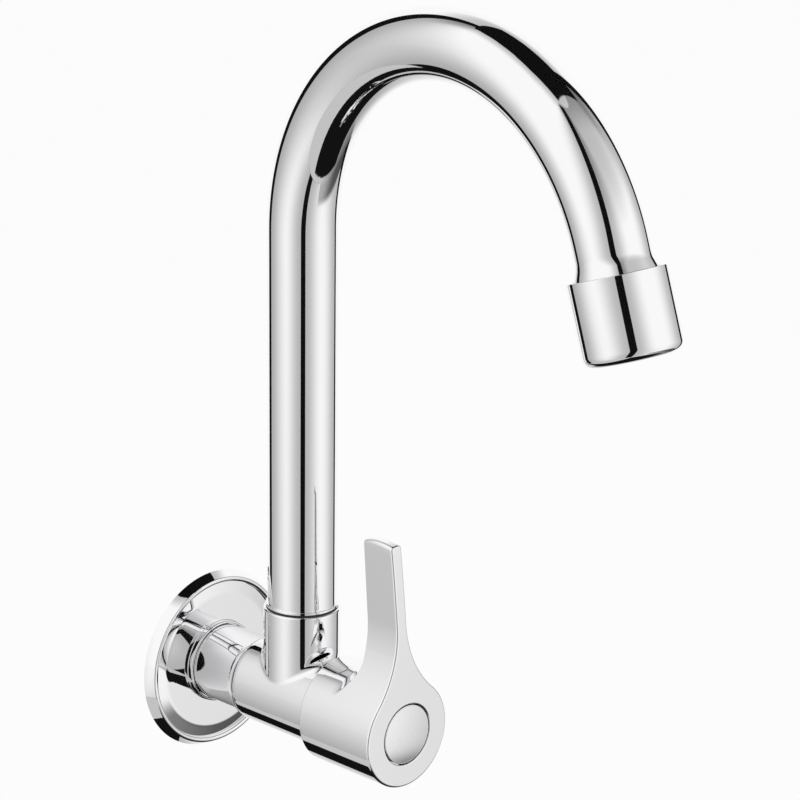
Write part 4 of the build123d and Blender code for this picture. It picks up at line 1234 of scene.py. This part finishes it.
    # From the screw's hole back to the hub's rear edge; the side columns fold onto the hub's ring
    extra = crown_row
    stretched = np.concatenate(
        [hub_way, np.full(extra, hub_way[-1]), span_way[1:], np.full(extra - 1, hub_way[0] - 2 * np.pi)]
    )
    inside = rounded(
        [
            (sizes.screw_hole, sizes.web_back, 0),
            (sizes.spline_radius, sizes.web_back, 0),
            (sizes.spline_radius, sizes.boss_back, 0),
            (sizes.boss_radius, sizes.boss_back, BOSS_ROUND),
            (sizes.boss_radius, sizes.web_back, WEB_ROUND),
            (sizes.skirt_end_bore, sizes.web_back, WEB_ROUND),
            (sizes.skirt_bore, sizes.hub_length, SKIRT_ROUND),
            (sizes.hub_radius, sizes.hub_length, sizes.rear_edge),
            (sizes.hub_radius, rear_depth, 0),
        ],
        closed=False,
    )[:-2]
    body = turned(inside, stretched)
    grids.append((np.concatenate([ring[-1:], body]), True))
    return grids


class TAP_OT_stage(Operator):
    """Make the floor, the surroundings, the flags, the lamp and the camera"""

    bl_idname = "tap.stage"
    bl_label = "Studio"

    def execute(self, context):
        sizes = context.scene.tap_stage
        context.scene.view_settings.view_transform = "Standard"
        make_camera(context.scene, sizes)
        make_floor(sizes)
        make_flags(sizes, context.scene.tap_body.riser_out)
        make_lamp(sizes)
        context.scene.world = pale_surroundings(sizes)
        return {"FINISHED"}


def sees_background(tree):
    """1 for what is seen directly, in a mirror or through glass, and 0 for light that falls on something."""
    path = add_node(tree, "ShaderNodeLightPath")
    seen = path.outputs["Is Camera Ray"]
    for kind in ("Is Glossy Ray", "Is Transmission Ray"):
        either = add_node(tree, "ShaderNodeMath", {0: seen, 1: path.outputs[kind]}, operation="MAXIMUM")
        seen = either.outputs[0]
    return seen


def pale_surroundings(sizes):
    """A white world, seen by the camera and in the metal alike, that lights at a plain level."""
    world = bpy.data.worlds.new("pale_surroundings")
    world.use_nodes = True
    tree = world.node_tree
    tree.nodes.clear()
    plain = add_node(tree, "ShaderNodeBackground", {"Color": (1, 1, 1, 1), "Strength": sizes.plain_level})
    white = add_node(tree, "ShaderNodeBackground", {"Color": (1, 1, 1, 1), "Strength": 1.0})
    mixed = add_node(
        tree, "ShaderNodeMixShader", {0: sees_background(tree), 1: plain.outputs[0], 2: white.outputs[0]}
    )
    add_node(tree, "ShaderNodeOutputWorld", {"Surface": mixed.outputs[0]})
    return world


def make_floor(sizes):
    """A plain pale floor, as far below the tap as a kitchen's.

    Part of its white is its own, so that the background stays white and the shadow still shows.
    """
    reach = sizes.floor_reach
    corners = [(-reach, -reach), (reach, -reach), (reach, reach), (-reach, reach)]
    mesh = bpy.data.meshes.new("studio_floor")
    mesh.from_pydata([(x, y, sizes.floor_height) for x, y in corners], [], [(0, 1, 2, 3)])
    mesh.materials.append(pale_floor(sizes))
    floor = bpy.data.objects.new("studio_floor", mesh)
    bpy.context.scene.collection.objects.link(floor)


def pale_floor(sizes):
    """Pale matt paint that shows part of its white by itself."""
    material, tree = finish_named("pale_floor")
    if tree is None:
        return material
    painted = add_node(tree, "ShaderNodeBsdfDiffuse", {"Color": linear("#F4F4F4")})
    white = add_node(tree, "ShaderNodeEmission", {"Strength": 1.0})
    own = {0: sees_background(tree), 1: sizes.floor_white}
    share = add_node(tree, "ShaderNodeMath", own, operation="MULTIPLY")
    mixed = add_node(
        tree, "ShaderNodeMixShader", {0: share.outputs[0], 1: painted.outputs[0], 2: white.outputs[0]}
    )
    add_node(tree, "ShaderNodeOutputMaterial", {"Surface": mixed.outputs[0]})
    return material


def flag_cloth():
    """Black flag cloth, which thins out to nothing where its density falls."""
    material, tree = finish_named("black_flag_cloth")
    if tree is None:
        return material
    density = add_node(tree, "ShaderNodeAttribute", attribute_name="cloth_density")
    clear = add_node(tree, "ShaderNodeBsdfTransparent")
    cloth = add_node(tree, "ShaderNodeBsdfDiffuse", {"Color": linear("#141414")})
    mixed = add_node(
        tree,
        "ShaderNodeMixShader",
        {0: density.outputs["Fac"], 1: clear.outputs[0], 2: cloth.outputs[0]},
    )
    add_node(tree, "ShaderNodeOutputMaterial", {"Surface": mixed.outputs[0]})
    return material


def make_flag(name, points, density):
    """One flag from a grid of points and their densities. Only mirrors and glass see it."""
    rows, columns = points.shape[:2]
    mesh = bpy.data.meshes.new(name)
    mesh.from_pydata(points.reshape(-1, 3), [], quads(np.arange(rows * columns).reshape(rows, columns)))
    cloth = mesh.attributes.new("cloth_density", "FLOAT", "POINT")
    cloth.data.foreach_set("value", np.broadcast_to(density, (rows, columns)).ravel())
    mesh.materials.append(flag_cloth())
    flag = bpy.data.objects.new(name, mesh)
    flag.visible_camera = False
    flag.visible_diffuse = False
    flag.visible_shadow = False
    bpy.context.scene.collection.objects.link(flag)


def thinned(beyond, fade, edge):
    """Cloth density: whole up to 0, then an edge value that falls off as a squared cosine over the fade."""
    share = np.clip(beyond / fade, 0, 1)
    return np.where(beyond <= 0, 1.0, edge * np.cos(share * np.pi / 2) ** 2)


def laid_flat(across, ahead, height, riser_out):
    """Points of a level cloth, from their places counted from the riser."""
    return np.stack([across + 0 * ahead, ahead + 0 * across - riser_out, height + 0 * across * ahead], -1)


# Upright flags: name, azimuth at the valve's height, lean by the top, half width of the whole cloth,
# how far thin cloth reaches beyond it at the floor towards smaller and larger azimuths, all in
# degrees, and the density where the thin cloth starts
FLAGS = (
    ("front_flag", -42, 2, 7.5, 65, 65, 0.50),
    ("side_flag", 86, 0, 5, 72, 1, 0.50),
    ("rear_flag", -175, -36, 8, 1, 89, 0.55),
)
CANOPY_WAY = (-42, 86)  # azimuths of the canopy's sides, in degrees
CLOTH_GAP = 0.01  # between the floor and its cloth, and between the two cloths overhead
LEAST_REACH = 0.01  # share of its reach that the thin cloth keeps at a flag's top
FRONT_REACH = 0.15  # share of its fade over which the floor cloth thins out at the front


def make_flags(sizes, riser_out):
    """Cloths that give the chrome its dark lines: three upright, two overhead and one on the floor."""
    for flag in FLAGS:
        upright_flag(sizes, riser_out, *flag)
    overhead_flag(sizes, riser_out)
    canopy(sizes, riser_out)
    floor_cloth(sizes, riser_out)


def upright_flag(sizes, riser_out, name, azimuth, lean, half_width, left, right, edge):
    """Part of a cylinder round the riser, whose azimuth moves on evenly with its height by its lean.

    The thin cloth beside it narrows evenly from the floor to almost nothing at the top.
    """
    height = np.linspace(sizes.floor_height, sizes.flag_top, 33)[:, None]
    narrowed = (sizes.flag_top - height) / (sizes.flag_top - sizes.floor_height) + LEAST_REACH
    share = np.linspace(-1, 1, 241)
    reach = np.where(share < 0, left, right) * narrowed
    side = share * (half_width + reach)
    way = np.radians(azimuth + lean * height / sizes.flag_top + side)
    flag = laid_flat(
        sizes.flag_distance * np.sin(way), -sizes.flag_distance * np.cos(way), height, riser_out
    )
    make_flag(name, flag, thinned(np.abs(side) - half_width, reach, edge))


def overhead_flag(sizes, riser_out):
    """A level flag whose left edge slants in towards the back, and which thins out on every side."""
    soft = sizes.overhead_soft
    fade = sizes.overhead_fade
    ahead = np.linspace(sizes.overhead_front - soft, sizes.overhead_back + fade, 161)[:, None]
    slant = (sizes.overhead_slant, sizes.overhead_back)
    left = np.interp(ahead, slant, (sizes.overhead_left, sizes.overhead_tip))
    across = left - soft + (sizes.overhead_right + fade - left + soft) * np.linspace(0, 1, 161)
    to_right = np.maximum(across - sizes.overhead_right, 0)
    behind = np.maximum(ahead - sizes.overhead_back, 0)
    to_left = np.maximum(left - across, 0)
    in_front = np.maximum(sizes.overhead_front - ahead, 0)
    density = np.minimum(
        thinned(np.hypot(to_right, behind), fade, sizes.overhead_edge),
        thinned(np.hypot(to_left, in_front), soft, sizes.overhead_edge),
    )
    make_flag("overhead_flag", laid_flat(across, ahead, sizes.flag_top, riser_out), density)


def canopy(sizes, riser_out):
    """A sector of thin cloth overhead in front, whose density falls off outwards as a squared cosine."""
    share = np.linspace(0, 1, 65)[:, None]
    radius = sizes.canopy_start + (sizes.canopy_end - sizes.canopy_start) * share
    way = np.radians(np.linspace(*CANOPY_WAY, 97))
    height = sizes.flag_top + CLOTH_GAP
    cloth = laid_flat(radius * np.sin(way), -radius * np.cos(way), height, riser_out)
    make_flag("thin_canopy", cloth, sizes.canopy_density * np.cos(share * np.pi / 2) ** 2)


def floor_cloth(sizes, riser_out):
    """A triangle of cloth just above the floor, with its tip behind the tap and an arc for its front.

    Thin cloth lies beyond it. On the left, it reaches the foot of the upright flags. On the right, it
    reaches evenly further from the front to the tip, and fades out over the back half as a squared
    cosine. The apron before the front gets evenly denser to the right, and falls off beyond the
    outer radius as a squared cosine.
    """
    share = np.linspace(0, 1, 161)[:, None]
    left = sizes.floor_cloth_left + (sizes.floor_cloth_tip - sizes.floor_cloth_left) * share
    right = sizes.floor_cloth_right + (sizes.floor_cloth_tip - sizes.floor_cloth_right) * share
    reach = sizes.floor_cloth_fade * (share + FRONT_REACH)
    span = np.maximum(right + reach, sizes.floor_cloth_apron) + sizes.flag_distance
    across = span * np.linspace(0, 1, 301) - sizes.flag_distance
    front = -np.sqrt(np.clip((sizes.floor_cloth_outer + sizes.floor_cloth_rim) ** 2 - across**2, 0, None))
    ahead = front + (sizes.floor_cloth_back - front) * share
    radius = np.hypot(across, ahead)
    edge = sizes.floor_cloth_edge * np.cos(np.clip(2 * share - 1, 0, 1) * np.pi / 2) ** 2
    triangle = thinned(across - right, reach, edge)
    triangle = np.where(across < left, 0, triangle)
    triangle = np.where((ahead < 0) & (radius > sizes.floor_cloth_front), 0, triangle)
    beside = np.where((across < 0) & (radius < sizes.flag_distance), sizes.floor_cloth_thin, 0)
    rightward = np.clip(across / sizes.floor_cloth_front, 0, 1)
    thin = sizes.floor_cloth_thin + (sizes.floor_cloth_dense - sizes.floor_cloth_thin) * rightward
    apron = np.minimum(thin, thinned(radius - sizes.floor_cloth_outer, sizes.floor_cloth_rim, thin))
    apron = np.where((ahead < 0) & (across > 0) & (across < sizes.floor_cloth_apron), apron, 0)
    density = np.maximum(np.maximum(triangle, beside), apron)
    make_flag("floor_cloth", laid_flat(across, ahead, sizes.floor_height + CLOTH_GAP, riser_out), density)


def make_lamp(sizes):
    """One large soft lamp, above on the left. The metal shows the pale background in its place."""
    light = bpy.data.lights.new("soft_lamp", "AREA")
    light.shape = "SQUARE"
    light.size = sizes.lamp_size
    light.energy = sizes.lamp_power
    lamp = bpy.data.objects.new("soft_lamp", light)
    place = Vector(sizes.lamp_place)
    lamp.matrix_world = Matrix.Translation(place) @ place.to_track_quat("Z", "Y").to_matrix().to_4x4()
    lamp.visible_glossy = False
    bpy.context.scene.collection.objects.link(lamp)


def make_camera(scene, sizes):
    """A long lens at the picture's viewing angle, from its turn, elevation, roll and distance."""
    azimuth = sizes.camera_azimuth
    elevation = sizes.camera_elevation
    back = Vector(
        (
            math.sin(azimuth) * math.cos(elevation),
            -math.cos(azimuth) * math.cos(elevation),
            math.sin(elevation),
        )
    )
    side = Vector((math.cos(azimuth), math.sin(azimuth), 0))
    up = back.cross(side)
    roll = sizes.camera_roll
    right = side * math.cos(roll) + up * math.sin(roll)
    top = up * math.cos(roll) - side * math.sin(roll)
    target = Vector(sizes.camera_target)
    camera = bpy.data.cameras.new("picture_camera")
    camera.lens = sizes.camera_lens
    camera.sensor_width = SENSOR_WIDTH
    holder = bpy.data.objects.new("picture_camera", camera)
    turned_to = Matrix((right, top, back)).transposed().to_4x4()
    turned_to.translation = target + back * sizes.camera_distance
    holder.matrix_world = turned_to
    scene.collection.objects.link(holder)
    scene.camera = holder


class TAP_PT_panel(Panel):
    """Lists the tap's pieces, sizes and finishes"""

    bl_label = "Wall-mounted kitchen tap"
    bl_idname = "TAP_PT_panel"
    bl_space_type = "VIEW_3D"
    bl_region_type = "UI"
    bl_category = "Tap"

    def draw(self, context):
        for operator in OPERATORS:
            self.layout.operator(operator.bl_idname)
        for name, group in SIZE_GROUPS.items():
            box = self.layout.box()
            box.label(text=group.__doc__)
            for field in group.__annotations__:
                box.prop(getattr(context.scene, name), field)


OPERATORS = (
    TAP_OT_body,
    TAP_OT_wall_flange,
    TAP_OT_spout_tube,
    TAP_OT_spout_foot,
    TAP_OT_nozzle,
    TAP_OT_handle,
    TAP_OT_button,
    TAP_OT_inner_finishes,
    TAP_OT_stage,
)


def register():
    """Register the property groups, operators and panel."""
    for name, group in SIZE_GROUPS.items():
        bpy.utils.register_class(group)
        setattr(bpy.types.Scene, name, PointerProperty(type=group))
    for item in (*OPERATORS, TAP_PT_panel):
        bpy.utils.register_class(item)


def unregister():
    """Take out everything that register put in."""
    for item in (TAP_PT_panel, *reversed(OPERATORS)):
        bpy.utils.unregister_class(item)
    for name, group in reversed(SIZE_GROUPS.items()):
        delattr(bpy.types.Scene, name)
        bpy.utils.unregister_class(group)


def main():
    """Make every piece and the studio."""
    register()
    for operator in OPERATORS:
        group, name = operator.bl_idname.split(".")
        getattr(getattr(bpy.ops, group), name)()


if __name__ == "__main__":
    main()
